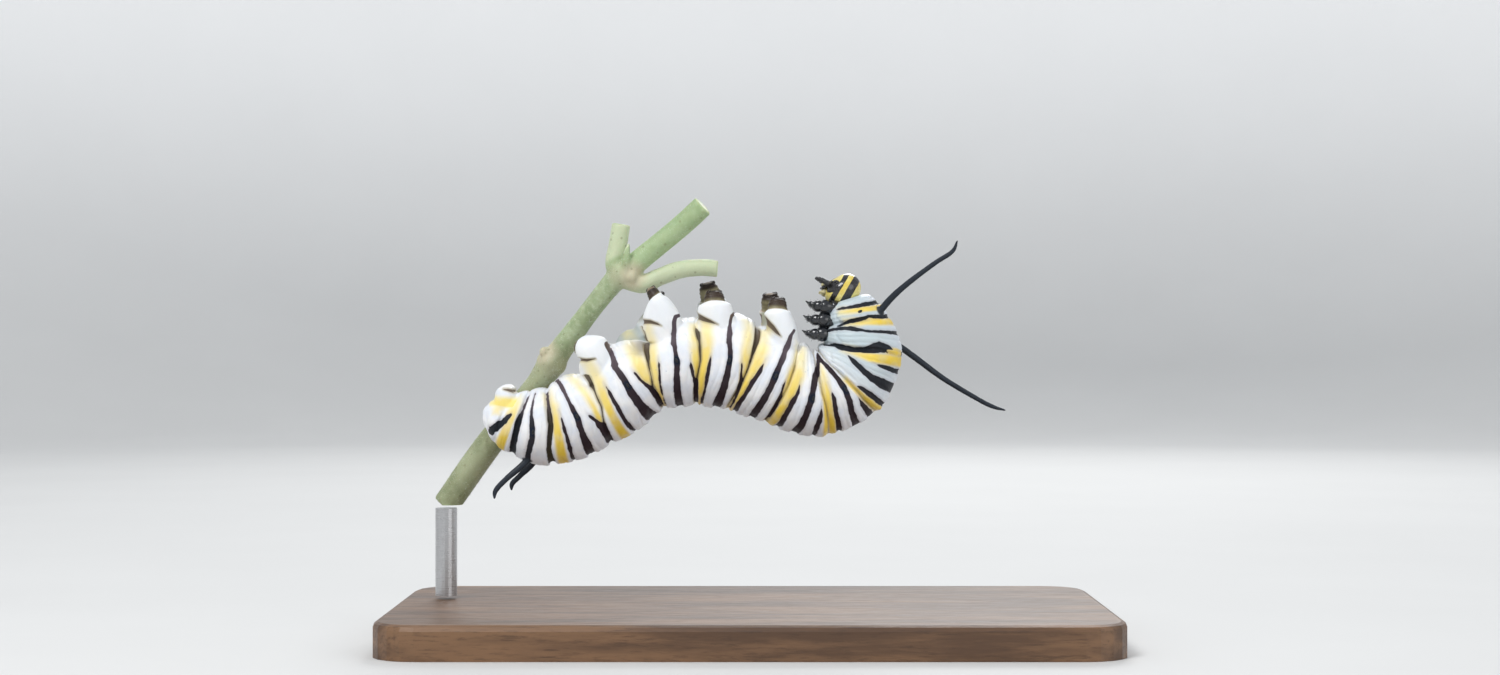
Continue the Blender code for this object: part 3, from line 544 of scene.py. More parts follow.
def along(values, station):
    if values.ndim == 1:
        return np.interp(station, KNOTS, values)
    return np.stack([np.interp(station, KNOTS, column) for column in values.T], -1)


def segment_length(station, angle):
    """Length of the segment round a place, in millimetres."""
    share = (1 + np.cos(angle)) / 2
    return (np.interp(station, SEGMENT_MIDDLES, BACK_LENGTH) * share
            + np.interp(station, SEGMENT_MIDDLES, BELLY_LENGTH) * (1 - share))


def fold_place(station, angle):
    """Segment index and share of the way between its two folds."""
    row = np.clip(np.floor(station).astype(int), 0, SEGMENTS - 1)
    column = np.interp(np.abs(angle) / math.pi, FOLD_TURNS, np.arange(len(FOLD_TURNS)))
    left = np.minimum(np.floor(column).astype(int), len(FOLD_TURNS) - 2)
    down = station - row
    right = column - left
    lean = sum((FOLD_LEAN[row + k, left] * (1 - right) + FOLD_LEAN[row + k, left + 1] * right) * weight
               for k, weight in enumerate((1 - down, down)))
    place = np.clip(station - lean, 0.0, SEGMENTS - 1e-6)
    index = np.floor(place).astype(int)
    return index, place - index


def surface_lift(station, angle, index, share):
    """Folds, annulets, lobes and the crease along the side, as millimetres above the plain surface."""
    turn = np.abs(angle) / math.pi
    length = segment_length(station, angle)
    to_fold = np.minimum(share, 1 - share) * length
    lift = -FOLD_DEPTH * (0.55 + 0.6 * np.sin(np.abs(angle)) ** 2) * bell(to_fold, FOLD_WIDTH)
    abdomen = rise(station, 2.6, 3.2)
    ring_wave = 0.02 * np.sin(angle * 5 + index * 2.3)
    for place in ANNULETS:
        reach = (share - place - ring_wave) * length
        lift = lift - ANNULET_DEPTH * bell(reach, ANNULET_WIDTH) * (0.35 + 0.65 * abdomen)
    for at, reach, turn_at, turn_reach, height in LOBES:
        lift = lift + (height * abdomen * fall(station, 8.2, 9.2)
                       * bell(share - at, reach) * bell(turn - turn_at, turn_reach))
    crease_at = CREASE_TURN + 0.025 * np.sin(share * 2 * math.pi + index)
    return lift - CREASE_DEPTH * bell(turn - crease_at, CREASE_WIDTH) * rise(station, 2.0, 3.0)


def body_surface(station, angle, detail=True):
    """Points on the skin. Without detail it is smooth, to find a point's station and angle by."""
    belly = along(BELLY, station)
    back = along(BACK, station)
    if detail:
        index, share = fold_place(station, angle)
        lift = surface_lift(station, angle, index, share)
        swell = SWELL[index] * (np.sin(math.pi * share) ** SWELL_POWER)[..., None]
    else:
        swell = np.stack([np.interp(station, SEGMENT_MIDDLES, column) * 0.75 for column in SWELL.T], -1)
        lift = 0.0
    across = unit(back - belly)
    belly = belly - across * swell[..., :1]
    back = back + across * swell[..., 1:2]
    half_width = along(WIDTH, station) / 2 + swell[..., 2] + lift
    half_height = np.linalg.norm(back - belly, axis=-1) / 2 + lift
    up = np.cos(angle)
    out = np.sin(angle)
    square = up < 0
    up = np.where(square, -np.abs(up) ** BELLY_SQUARENESS, up)
    out = np.where(square, np.sign(out) * np.abs(out) ** BELLY_SQUARENESS, out)
    flat = (belly + back) / 2 + across * (half_height * up)[..., None]
    return np.stack([flat[..., 0], along(MIDDLE, station) - half_width * out, flat[..., 1]], -1)


def body_grid(rows_per_segment, sides):
    return np.meshgrid(np.linspace(0, SEGMENTS, SEGMENTS * rows_per_segment + 1),
                       round_angles(sides, -math.pi), indexing="ij")


def body_rings():
    rings = list(body_surface(*body_grid(ROWS_PER_SEGMENT, BODY_SIDES)))
    backwards = unit((BELLY[0] + BACK[0] - BELLY[1] - BACK[1]) / 2)
    tail = rings[0]
    for scale, reach in TAIL_DOME:
        rings.insert(0, tail.mean(0) + (tail - tail.mean(0)) * scale
                     + np.array([backwards[0], 0.0, backwards[1]]) * reach)
    return rings


def body_slopes(station, angle):
    """A place on the smooth body, and how it moves with station and with angle."""
    nudge = 1e-3
    here = body_surface(station, angle, False)
    ahead = body_surface(np.minimum(station + nudge, SEGMENTS), angle, False)
    aside = body_surface(station, angle + nudge, False)
    return here, (ahead - here) / nudge, (aside - here) / nudge


def body_coordinates(points):
    """Station and angle of the nearest place on the smooth body, and the height over it."""
    stations, angles = (grid.ravel() for grid in body_grid(16, 96))
    tree = point_tree(body_surface(stations, angles, False))
    nearest = [tree.find(point)[1] for point in points.tolist()]
    station, angle = stations[nearest], angles[nearest]
    for _ in range(3):
        here, by_station, by_angle = body_slopes(station, angle)
        off = points - here
        a = (by_station ** 2).sum(1)
        b = (by_station * by_angle).sum(1)
        c = (by_angle ** 2).sum(1)
        p = (by_station * off).sum(1)
        q = (by_angle * off).sum(1)
        det = np.maximum(a * c - b * b, 1e-6)
        station = np.clip(station + np.clip((c * p - b * q) / det, -0.05, 0.05), 0.0, SEGMENTS)
        angle = angle + np.clip((a * q - b * p) / det, -0.05, 0.05)
    here, by_station, by_angle = body_slopes(station, angle)
    height = ((points - here) * unit(np.cross(by_angle, by_station))).sum(1)
    return station, (angle + math.pi) % (2 * math.pi) - math.pi, height


def band_distance(bands, station, turn):
    """How far inside the nearest band each place lies, in millimetres."""
    length = segment_length(station, turn * math.pi)
    girth = math.pi / 2 * (np.linalg.norm(along(BACK - BELLY, station), axis=1) / 2 + along(WIDTH, station) / 2)
    best = np.full(len(station), -FAR)
    for band in bands:
        turns, middles, halves = np.array(band).T / 100
        slope = np.interp(turn + 0.01, turns, middles) - np.interp(turn - 0.01, turns, middles)
        lean = np.arctan(slope / 0.02 * length / girth)
        off_middle = np.abs(station - np.interp(turn, turns, middles)) * length * np.cos(lean)
        inside = np.interp(turn, turns, halves) - off_middle
        past = np.maximum(turns[0] - turn, turn - turns[-1]) * girth
        best = np.maximum(best, np.where(past > 0, np.minimum(inside, -past), inside))
    return best


# Limbs. Each proleg is a name, its three stops, its sections, the sign of its side and its key in PROLEGS,
# which the anal ones don't have.

def limb_frames(stops, shares):
    """Middle, path direction and the two cross directions of a limb at shares of its way."""
    root, bend, sole = (np.array(stop, float) for stop in stops)
    frames = []
    for share in shares:
        middle = root + (bend - root) * share if share <= 1 else bend + (sole - bend) * (share - 1)
        turn = min(max(share - 0.5, 0.0), 1.0)
        path = unit(unit(bend - root) * (1 - turn) + unit(sole - bend) * turn)
        # The rings of a limb stay upright in side view, unless it points to the far side.
        length_way = np.array([path[2], 0.0, -path[0]]) if abs(path[1]) < 0.6 else np.array([1.0, 0.0, 0.0])
        length_way = unit(length_way - path * path.dot(length_way))
        frames.append((middle, path, length_way, np.cross(path, length_way)))
    return frames


def limb_shape(stops, sections):
    shares = np.concatenate([np.arange(0, 0.9, 0.1), np.arange(0.9, 2.001, 0.05)])
    places, *sizes = np.array(sections).T
    rings = []
    for share, (middle, _, length_way, cross_way) in zip(shares, limb_frames(stops, shares)):
        shift, half_length, half_thick = (np.interp(share, places, size) for size in sizes)
        rings.append([middle + length_way * (shift + half_length * math.cos(a))
                      + cross_way * half_thick * math.sin(a) for a in round_angles(40)])
    return loft(rings)


def proleg_rings(form):
    """Sections of a walking proleg: share of its way, shift towards the head, half length, half thickness."""
    rim, low, high, spread, foot, _ = form
    rings = []
    for part, change, thick in SHIELD_SECTIONS:
        aside = spread * (1 - part) ** 2
        rings.append((part * rim, -aside, low + (high - low) * change + aside, thick))
    return rings + [(rim + (2.0 - rim) * part, 0.0, foot * length, thick)
                    for part, length, thick in FOOT_SECTIONS]


def all_limbs():
    limbs = []
    for key, stops in PROLEGS.items():
        sign = SIDES[key[1]]
        outs = STEM_PROLEG_OUT if key == STEM_PROLEG else PROLEG_OUT
        limbs.append(("proleg_%d_%s" % key, [(x, sign * out, z) for (x, z), out in zip(stops, outs)],
                      proleg_rings(PROLEG_FORMS[key]), sign, key))
    return limbs + [("proleg_anal_" + side, stops, ANAL_RINGS, SIDES[side], None)
                    for side, stops in ANAL_PROLEGS.items()]


def limb_place(points, stops, sections):
    """Share of the way along a limb for each point, and how far outside the limb's side it lies."""
    root, bend, sole = (np.array(stop, float) for stop in stops)
    shares, gaps = [], []
    for start, end, low, high in ((root, bend, -0.5, 1.0), (bend, sole, 0.0, 1.5)):
        way = end - start
        part = np.clip((points - start) @ way / way.dot(way), low, high)
        gaps.append(np.linalg.norm(points - start - part[:, None] * way, axis=1))
        shares.append(part + len(shares))
    share = np.where(gaps[1] < gaps[0], shares[1], shares[0])
    table = np.array(sections)
    return share, np.minimum(*gaps) - np.interp(share, table[:, 0], (table[:, 2] + table[:, 3]) / 2)


def strip_distance(points, knots):
    """How far inside a strip, drawn in side view, each point lies, in millimetres."""
    place = points[:, [0, 2]]
    best = np.full(len(points), -FAR)
    for first, second in zip(knots, knots[1:]):
        way = np.array(second[:2]) - first[:2]
        part = np.clip((place - first[:2]) @ way / way.dot(way), 0, 1)
        gap = np.linalg.norm(place - first[:2] - part[:, None] * way, axis=1)
        best = np.maximum(best, first[2] + (second[2] - first[2]) * part - gap)
    return best


def moved_marks(marks, key):
    """A left proleg's marks, carried over to the proleg with this key."""
    near, far = (np.array(PROLEGS[key[0], side][0]) + PROLEGS[key[0], side][1] for side in ("left", key[1]))
    shift = (far - near) / 2
    return [(x + shift[0], z + shift[1], half) for x, z, half in marks[key[0]]]


def filament_rows(name):
    radii = FRONT_FILAMENT_RADII if "front" in name else REAR_FILAMENT_RADII
    return smooth_path([(*place, radius) for place, radius in zip(FILAMENTS[name], radii)], 12)


def filament_shape(name):
    rows = filament_rows(name)
    end = rows[-1, :3]
    way = unit(end - rows[-2, :3])
    return tube(np.vstack([rows, *[(*(end + way * reach), radius) for reach, radius in FILAMENT_TIP]]), 24)


def filament_gap(points):
    """How far each point lies outside the nearest filament."""
    gaps = np.full(len(points), FAR)
    for name in FILAMENTS:
        rows = filament_rows(name)
        path = rows[:, :3]
        tree = point_tree(path)
        for k in np.where(((points > path.min(0) - 1.0) & (points < path.max(0) + 1.0)).all(1))[0]:
            _, row, gap = tree.find(points[k])
            gaps[k] = min(gaps[k], gap - rows[row, 3])
    return gaps


def spiracle_frames():
    """Each breathing hole's place, and its directions ahead, round the body and outwards."""
    for station, turn in SPIRACLES:
        for sign in SIDES.values():
            angle = sign * turn * math.pi
            here, ahead, aside = body_surface(np.array([station, station + 0.05, station]),
                                              np.array([angle, angle, angle + 0.05]))
            ahead = unit(ahead - here)
            aside = aside - here
            aside = unit(aside - ahead * ahead.dot(aside))
            out = np.cross(ahead, aside)
            yield here, ahead, aside, out * -np.sign(out[1] * sign)


# Skin.

class Skin:
    """The skin's points, what is known of each of them, and the marks that lie on it."""

    def __init__(self):
        self.limbs = all_limbs()
        shapes = [loft(body_rings()), *[limb_shape(*limb[1:3]) for limb in self.limbs],
                  *[filament_shape(name) for name in FILAMENTS], ball(*BULGE, 40, 24)]
        self.points, self.quads = remesh(shapes, VOXEL)
        self.relax(0.5, 2)
        self.station, self.angle, self.height = body_coordinates(self.points)
        self.turn = np.abs(self.angle) / math.pi
        index, self.part = fold_place(self.station, self.angle)
        self.place = index + self.part
        self.length = segment_length(self.station, self.angle)
        # Distance from the nearest fold, with a sign that changes in the fold, so that no thin line breaks up.
        self.seam = np.sin(math.pi * self.place) / math.pi * self.length
        self.find_limbs()
        self.off_thread = filament_gap(self.points)
        self.off_bulge = (np.linalg.norm((self.points - BULGE[0]) / BULGE[1], axis=1) - 1) * min(BULGE[1])
        # Coordinates that follow the skin, for wrinkles and for the edges of the marks.
        self.lay = np.stack([self.station * 2.8, np.abs(self.angle) * 3.6, np.sign(self.angle) * 3.0], 1)
        self.body_only = rise(self.off_thread, 0.0, 0.4)

    def find_limbs(self):
        """The limb that each point is nearest to, how far outside it the point lies, and its share along it."""
        count = len(self.points)
        self.share = np.zeros(count)
        self.off_limb = np.full(count, FAR)
        self.owner = np.zeros(count, dtype=int)
        for number, limb in enumerate(self.limbs):
            share, gap = limb_place(self.points, *limb[1:3])
            nearer = gap < self.off_limb
            self.off_limb = np.where(nearer, gap, self.off_limb)
            self.share = np.where(nearer & (gap < 0.6), share, self.share)
            self.owner = np.where(nearer, number, self.owner)

    def relax(self, weights, rounds):
        self.points = relax(self.points, self.quads, weights, rounds)

    def settle(self):
        """Lay the body's own skin on its surface, and soften the folds and the roots of limbs and filaments."""
        gap = np.minimum(self.off_limb, self.off_thread)
        at_tail = np.array([limb[4] is None for limb in self.limbs])[self.owner]
        fillet = bell(np.maximum(gap, 0), 0.35) * bell(np.maximum(self.height - 0.25, 0), 0.35)
        fillet = np.maximum(fillet * (1 - 0.8 * at_tail), bell(self.off_bulge, 0.5))
        surface = body_surface(np.minimum(self.station, SEGMENTS - 1e-4), self.angle)
        keep = (rise(self.off_limb, 0.25, 0.6) * rise(self.off_thread, 0.2, 0.5)
                * rise(self.station, 0.02, 0.15) * fall(self.station, 12.9, 12.98)
                * rise(self.off_bulge, 0.1, 0.5))
        keep *= (np.linalg.norm(surface - self.points, axis=1) < 0.35) & (gap > 0.25)
        self.points = self.points + (surface - self.points) * keep[:, None]
        self.relax(fillet * 0.6, 14)
        self.relax(bell(self.seam, 0.14) * 0.5, 5)
        on_back = fall(self.turn, 0.12, 0.30) * rise(self.off_thread, 0.2, 0.6)
        self.relax(bell(self.seam, 0.30) * on_back * 0.6, 25)
        self.normal = point_normals(self.points, self.quads)
        wrinkle = (value_noise(self.lay * (1.0, 0.28, 1.0), 0.20, 3) * 0.018
                   + value_noise(self.points, 0.45, 5) * 0.012)
        self.push(wrinkle * (0.35 + 0.65 * self.body_only))

    def push(self, lift):
        self.points = self.points + self.normal * lift[:, None]

    def mark_body(self):
        """Bands, the dark lines of painted shade in the folds, and the painted shade beside one of them."""
        turn, station, place = self.turn, self.station, self.place
        near_limb = fall(self.off_limb, 0.15, 0.35) * OFF_LIMBS
        spot = band_distance(YELLOW_SPOT, station, turn)
        self.black = np.minimum(band_distance(BLACK_BANDS, station, turn), -spot)
        self.black -= rise(self.share, 0.15, 0.30) * near_limb
        yellow = np.maximum(band_distance(YELLOW_BANDS, station, turn), spot + 0.1)
        softness = 0.16 + 0.30 * rise(turn, 0.42, 0.62)
        self.yellow = rise(yellow + 0.08 + 0.14 * rise(turn, 0.42, 0.60), -softness, softness)
        self.seam = relax(self.seam, self.quads, bell(self.seam, 0.4) * 0.6, 8)
        # Half width of the painted shade line in each fold.
        width = np.interp(turn, *FOLD_LINE)
        width = np.where(place > FAINT_FROM, np.minimum(width, FAINT_WIDTH), width)
        first, last = LINED_JOINTS
        lined = rise(place, first - 0.5, first - 0.3) * fall(place, last + 0.3, last + 0.5)
        self.fold_shade_width = width - (1 - lined) * OFF_LIMBS - rise(self.share, 0.30, 0.50) * near_limb
        to_fold = (self.part - (self.part > 0.5)) * self.length
        self.shade = (rise(to_fold, -1.7, -0.5) * fall(to_fold, 0.0, 0.25) * rise(turn, 0.62, 0.74)
                      * fall(turn, 0.88, 0.95) * rise(place, 4.2, 4.5) * (place < 5.2)
                      * rise(self.off_limb, -0.1, 0.3) * (self.angle > 0))

    def mark_limbs(self):
        """The prolegs' shields and feet, with the painted shadow wedges under the shields and the tops of the
        stripes.
        """
        self.limb, self.outer, self.shield = np.zeros((3, len(self.points)))
        self.fold = np.full(len(self.points), -FAR)
        for number, (_, stops, sections, sign, key) in enumerate(self.limbs):
            share, gap = limb_place(self.points, stops, sections)
            near = (gap < 0.4) & (self.owner == number)
            if key:
                self.mark_walking(near, share, gap, stops, sign, key)
            else:
                self.mark_anal(near, share, sign)
        self.black -= 0.10 * fall(self.turn, 0.0, 0.12) * fall(self.station, 9.0, 10.0)

    def mark_anal(self, near, share, sign):
        self.limb = np.where(near, rise(share, 1.55, 1.8) * 1.5, self.limb)
        patch = rise(share, 0.2, 0.5) * fall(share, 0.72, 1.02) * 1.7
        self.yellow = np.where(near, np.maximum(self.yellow * fall(share, 0.7, 1.0), patch), self.yellow)
        if sign == SIDES["left"]:
            self.fold = np.maximum(self.fold, np.where(near, strip_distance(self.points, HIND_EDGE), -FAR))

    def mark_walking(self, near, share, gap, stops, sign, key):
        rim, climb = PROLEG_FORMS[key][0], PROLEG_FORMS[key][5]
        x, z = self.points[:, 0], self.points[:, 2]
        middle = (np.array(stops[0]) + stops[1]) / 2
        side_out = (self.points[:, 1] - middle[1]) * sign
        length = np.where(share < rim, share / rim, 1 + (share - rim) / (2 - rim))
        ahead = np.clip(x - middle[0] + 0.25, -0.4, 0.9)
        length -= climb * ahead * rise(length, 0.8, 1.1) * rise(side_out, -0.6, 0.0)
        close = fall(gap, 0.12, 0.40)
        self.limb = np.where(near, length * close, self.limb)
        self.outer = np.where(near, rise(side_out, -0.5, 0.3), self.outer)
        wedge = moved_marks(WEDGES, key)
        wedge_x, wedge_z, _ = np.array(wedge).T
        floor = np.interp(x, wedge_x, wedge_z) - np.maximum(x - wedge_x[-1], 0.0) * WEDGE_RUN_OUT
        shield = rise(z - floor, -0.02, 0.20) * rise(length, 0.12, 0.45) * close
        self.shield = np.where(near, shield, self.shield)
        facing = side_out > -0.3
        # The wedge's painted shadow under the shield.
        dark = strip_distance(self.points, wedge)
        self.fold = np.maximum(self.fold, np.where((gap < 0.5) & facing, dark, -FAR))
        stripe = strip_distance(self.points, moved_marks(STRIPE_TOPS, key))
        self.black = np.maximum(self.black, np.where((gap < 1.5) & facing, stripe, -FAR))

    def emboss(self):
        """Sink the bands and folds, and raise the shields and the rings of the feet."""
        sunk = STRIPE_DEPTH * rise(self.black, -0.16, 0.10) * fall(self.turn, 0.5, 0.75)
        sunk += BACK_GROOVE * rise(self.black, -0.24, 0.16) * fall(self.turn, 0.08, 0.30) * (
            rise(self.station, 2.0, 3.0) * fall(self.station, 8.8, 9.6))
        sunk += MARK_DEPTH * rise(np.maximum(self.fold, self.fold_shade_width - np.abs(self.seam)), -0.12, 0.10)
        raised = SHIELD_HEIGHT * self.shield * fall(self.limb, 1.03, 1.07) * self.outer
        smooth_foot = [limb[4] for limb in self.limbs].index(STEM_PROLEG)
        rings = FOOT_RINGS * np.sin(self.limb * 30) * rise(self.limb, 1.15, 1.25)
        raised += rings * (self.owner != smooth_foot)
        self.push((raised - sunk) * self.body_only)

    def build(self):
        pore = np.maximum.reduce([0.42 - np.linalg.norm(self.points - here, axis=1)
                                  for here, *_ in spiracle_frames()])
        attributes = {
            # bulge places the painted shade on the far bulge.
            "pore": np.maximum(pore, -FAR), "bulge": fall(self.off_bulge, 0.1, 0.6),
            "black": relax(self.black, self.quads, 0.5, 2), "thread": fall(self.off_thread, 0.04, 0.22),
            "lay_x": self.lay[:, 0], "lay_y": self.lay[:, 1],
        }
        for key in ("shade", "yellow", "fold", "seam", "fold_shade_width", "shield", "station", "turn", "limb",
                    "outer"):
            attributes[key] = getattr(self, key)
        piece = add_piece("skin", (self.points, self.quads.tolist()), skin_material(),
                          attributes)
        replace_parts(piece, *SEGMENT_NODES, *[limb[0] for limb in self.limbs], *FILAMENTS)


def build_skin():
    skin = Skin()
    skin.settle()
    skin.mark_body()
    skin.mark_limbs()
    skin.emboss()
    skin.build()


# Materials.

class Value:
    """An output of a shader node, which +, - and * turn into Math nodes."""

    def __init__(self, nodes, socket):
        self.nodes = nodes
        self.socket = socket

    def __add__(self, other):
        return self.nodes.math("ADD", self, other)

    def __sub__(self, other):
        return self.nodes.math("SUBTRACT", self, other)

    def __mul__(self, other):
        return self.nodes.math("MULTIPLY", self, other)


class Nodes:
    """A new material, and short ways to add nodes to it."""

    def __init__(self, name):
        self.material = bpy.data.materials.new(name)
        self.material.use_nodes = True
        self.tree = self.material.node_tree

    def feed(self, socket, value):
        if isinstance(value, Value):
            self.tree.links.new(value.socket, socket)
        elif socket.type == "RGBA":
            socket.default_value = (*value, 1.0)
        else:
            socket.default_value = value

    def add(self, kind, output, inputs, **settings):
        node = self.tree.nodes.new("ShaderNode" + kind)
        for key, value in settings.items():
            setattr(node, key, value)
        for key, value in inputs.items():
            self.feed(node.inputs[key], value)
        return Value(self, node.outputs[output])

    def attribute(self, name):
        return self.add("Attribute", "Fac", {}, attribute_name=name)

    def math(self, kind, first, second=0.0):
        return self.add("Math", 0, {0: first, 1: second}, operation=kind)

    def step(self, value, low, high, low_value=0.0, high_value=1.0):
        return self.add("MapRange", "Result", {"Value": value, "From Min": low, "From Max": high,
                        "To Min": low_value, "To Max": high_value}, interpolation_type="SMOOTHSTEP")

    def mix(self, factor, first, second):
        return self.add("Mix", 2, {0: factor, 6: first, 7: second}, data_type="RGBA")

    def paint(self, base, *layers):
        """Colours laid over a base, each where its mask is 1."""
        for mask, colour in layers:
            base = self.mix(mask, base, colour)
        return base

    def vector(self, x, y):
        return self.add("CombineXYZ", 0, {0: x, 1: y})

    def place(self):
        return self.add("TexCoord", "Object", {})

    def stretched_place(self, scale):
        return self.add("Mapping", 0, {"Vector": self.place(), "Scale": scale})

    def noise(self, scale, detail=2.0, roughness=0.5, vector=None):
        return self.add("TexNoise", "Fac", {"Vector": vector or self.place(), "Scale": scale, "Detail": detail,
                                            "Roughness": roughness})

    def patches(self, noise, low, high, first, second):
        """Two colours in soft patches."""
        return self.mix(self.step(noise, low, high), first, second)

    def cells(self, scale):
        """Distance from the nearest of many scattered points."""
        return self.add("TexVoronoi", "Distance", {"Vector": self.place(), "Scale": scale})

    def bump(self, height, strength, distance):
        return self.add("Bump", 0, {"Strength": strength, "Distance": distance, "Height": height})

    def finish(self, colour, roughness, **inputs):
        """Feed the shader. The other inputs are named with _ where the shader has a space."""
        shader = self.tree.nodes["Principled BSDF"]
        for key, value in {"Base_Color": colour, "Roughness": roughness, **inputs}.items():
            self.feed(shader.inputs[key.replace("_", " ")], value)
        return self.material


def skin_colours(n, black, wobble, edge_noise, coarse):
    """Colours of the skin, laid over each other in the order in which they hide what is below."""
    limb, station, turn, outer = (n.attribute(key) for key in ("limb", "station", "turn", "outer"))
    # White, darker and bluer towards the front as painted shade, lavender-grey low on the back as painted
    # shade, duller on the belly, and grey-blue on the far bulge as painted shade.
    base = n.paint(
        n.patches(coarse, 0.35, 0.65, (0.76, 0.79, 0.84), (0.86, 0.86, 0.86)),
        # Painted shade, darker and bluer, towards the front.
        (n.step(station, 9.4, 10.8) * 0.85, (0.47, 0.56, 0.59)),
        # Painted lavender-grey shade low on the back, which faces away from the light.
        (n.step(turn, 0.40, 0.04, 0.0, 0.60), (0.78, 0.81, 0.88)),
        (n.step(turn, 0.90, 1.0, 0.0, 0.4), (0.56, 0.55, 0.50)),
        # Painted shade on the far bulge, which is white skin in shadow.
        (n.attribute("bulge") * 0.8, (0.34, 0.39, 0.38)))
    # Yellow, fading to cream on the belly side, with a halo round the black and small blue-grey dots.
    yellow = n.attribute("yellow") * n.step(coarse, 0.25, 0.55, 0.75, 1.0) * n.step(turn, 0.95, 0.42, 0.42, 1.0)
    few = n.step(n.noise(480, 1), 0.52, 0.60)
    base = n.paint(
        base,
        (yellow, n.patches(turn, 0.20, 0.80, (0.82, 0.59, 0.075), (0.89, 0.73, 0.22))),
        (n.step(black, -0.26, 0.0, 0.0, 0.30), (0.42, 0.38, 0.44)),
        (n.attribute("shade") * 0.70, (0.24, 0.20, 0.14)),
        (n.step(n.cells(1300), 0.11, 0.05) * few * 0.35, (0.32, 0.36, 0.44)))
    # Feet are olive, dark on the outside, with a dark sole and a paler pad in its middle.
    olive = n.paint(
        n.patches(n.noise(900, 3), 0.35, 0.7, (0.14, 0.12, 0.065), (0.27, 0.24, 0.14)),
        (n.step(limb, 1.10, 1.40) * n.step(outer, 0.4, 0.9), (0.050, 0.034, 0.024)),
        (n.step(limb, 1.60, 1.80), (0.030, 0.020, 0.015)),
        (n.step(limb, 1.93, 2.01), (0.22, 0.17, 0.12)))
    # Shields are white outside and olive inside, the olive darkened as painted shade, with a pinkish rim over
    # the foot.
    base = n.paint(
        base,
        (n.attribute("shield") * outer * 0.9, (0.84, 0.86, 0.88)),
        # Olive inner face, partly its own colour and partly painted shade.
        (n.step(limb, 0.25, 0.75) * n.step(outer, 0.7, 0.1) * 0.85, (0.27, 0.27, 0.17)),
        (n.step(limb, 1.02, 1.05) * n.step(limb, 1.14, 1.08) * 0.8, (0.46, 0.32, 0.26)),
        (n.step(limb + (edge_noise - 0.5) * 0.06, 1.07, 1.12), olive))
    # Painted shade: dark lines in the folds and painted shadow wedges under the shields, browner on the belly
    # side.
    line = n.math("MAXIMUM", n.attribute("fold"),
                  n.attribute("fold_shade_width") - n.math("ABSOLUTE", n.attribute("seam")))
    base = n.paint(
        base,
        # A soft olive-brown painted shade round the fold lines and the wedges.
        (n.step(line, -0.22, 0.0, 0.0, 0.60), (0.36, 0.29, 0.13)),
        # The dark painted shade in the folds and the painted shadow under the shields.
        (n.step(line + wobble * 0.25, -0.035, 0.035) * 0.93,
         n.patches(turn, 0.66, 0.82, (0.050, 0.036, 0.024), (0.120, 0.085, 0.060))))
    # Black, browner on the middle of the body and bluer at both ends, greyer towards the belly as painted light
    # on the lit upper side, olive in one band and at a stripe's top, and bluest round the breathing holes.
    ends = n.math("MAXIMUM", n.step(station, 9.4, 10.6), n.step(station, 3.6, 2.2))
    dark = n.paint(
        n.mix(ends, (0.024, 0.013, 0.018), (0.010, 0.014, 0.020)),
        (n.step(station, 2.84, 2.94) * n.step(station, 3.26, 3.16) * 0.8, (0.050, 0.042, 0.022)),
        (n.step(coarse, 0.4, 0.7) * 0.4, (0.036, 0.028, 0.034)),
        # Painted light: the black is greyer on the lit upper side, towards the belly.
        (n.step(turn, 0.50, 0.72, 0.0, 0.75) * n.step(station, 8.9, 8.0), (0.100, 0.075, 0.090)),
        (n.step(limb, 0.45, 0.70, 0.0, 0.7), (0.14, 0.10, 0.065)),
        (n.step(n.attribute("pore"), -0.20, 0.12), (0.006, 0.011, 0.026)))
    return n.paint(base, (n.step(black, -0.025, 0.03), dark), (n.attribute("thread"), (0.020, 0.026, 0.036)))


def skin_material():
    n = Nodes("banded_skin")
    lay_x, lay_y = n.attribute("lay_x"), n.attribute("lay_y")
    edge_noise = n.noise(1700, 1)
    wobble = (edge_noise - 0.5) * 0.05 + (n.noise(1.5, 1, 0.5, n.vector(lay_x, lay_y)) - 0.5) * 0.17
    black = n.attribute("black") + wobble
    wrinkles = n.noise(2.0, 4, 0.6, n.vector(lay_x * 3.0, lay_y * 0.8))
    roughness = n.step(n.noise(1500, 3), 0.3, 0.7, 0.36, 0.50) + n.step(black, -0.025, 0.03) * 0.14
    return n.finish(
        skin_colours(n, black, wobble, edge_noise, n.noise(700, 2)), roughness,
        Normal=n.bump(wrinkles + n.noise(6500, 2, 0.6) * 0.35, 0.5, 0.00006), Subsurface_Weight=0.12,
        Subsurface_Radius=(0.5, 0.4, 0.3), Subsurface_Scale=0.0006, Specular_IOR_Level=0.24)


def plain_material(name, colour, roughness, coat=0.0, scale=3000, bump=0.00002):
    """A solid colour with mottling and a fine bump."""
    n = Nodes(name)
    darker = tuple(part * 0.7 for part in colour)
    return n.finish(
        n.patches(n.noise(scale * 0.3, 3), 0.3, 0.7, darker, colour),
        n.step(n.noise(scale, 2), 0.3, 0.7, roughness * 0.85, roughness * 1.15),
        Normal=n.bump(n.noise(scale, 3), 0.6, bump), Coat_Weight=coat, Coat_Roughness=0.12)


def head_material():
    n = Nodes("head_horn")
    mask = n.step(n.attribute("black") + (n.noise(1800, 2) - 0.5) * 0.05, -0.012, 0.015)
    yellow = n.patches(n.noise(900, 3), 0.35, 0.65, (0.72, 0.55, 0.10), (0.80, 0.70, 0.24))
    return n.finish(
        n.mix(mask, yellow, (0.014, 0.013, 0.014)), n.step(n.noise(2500, 2), 0.3, 0.7, 0.20, 0.32),
        Normal=n.bump(n.cells(5200), 0.35, 0.00002), Coat_Weight=0.5, Coat_Roughness=0.10)


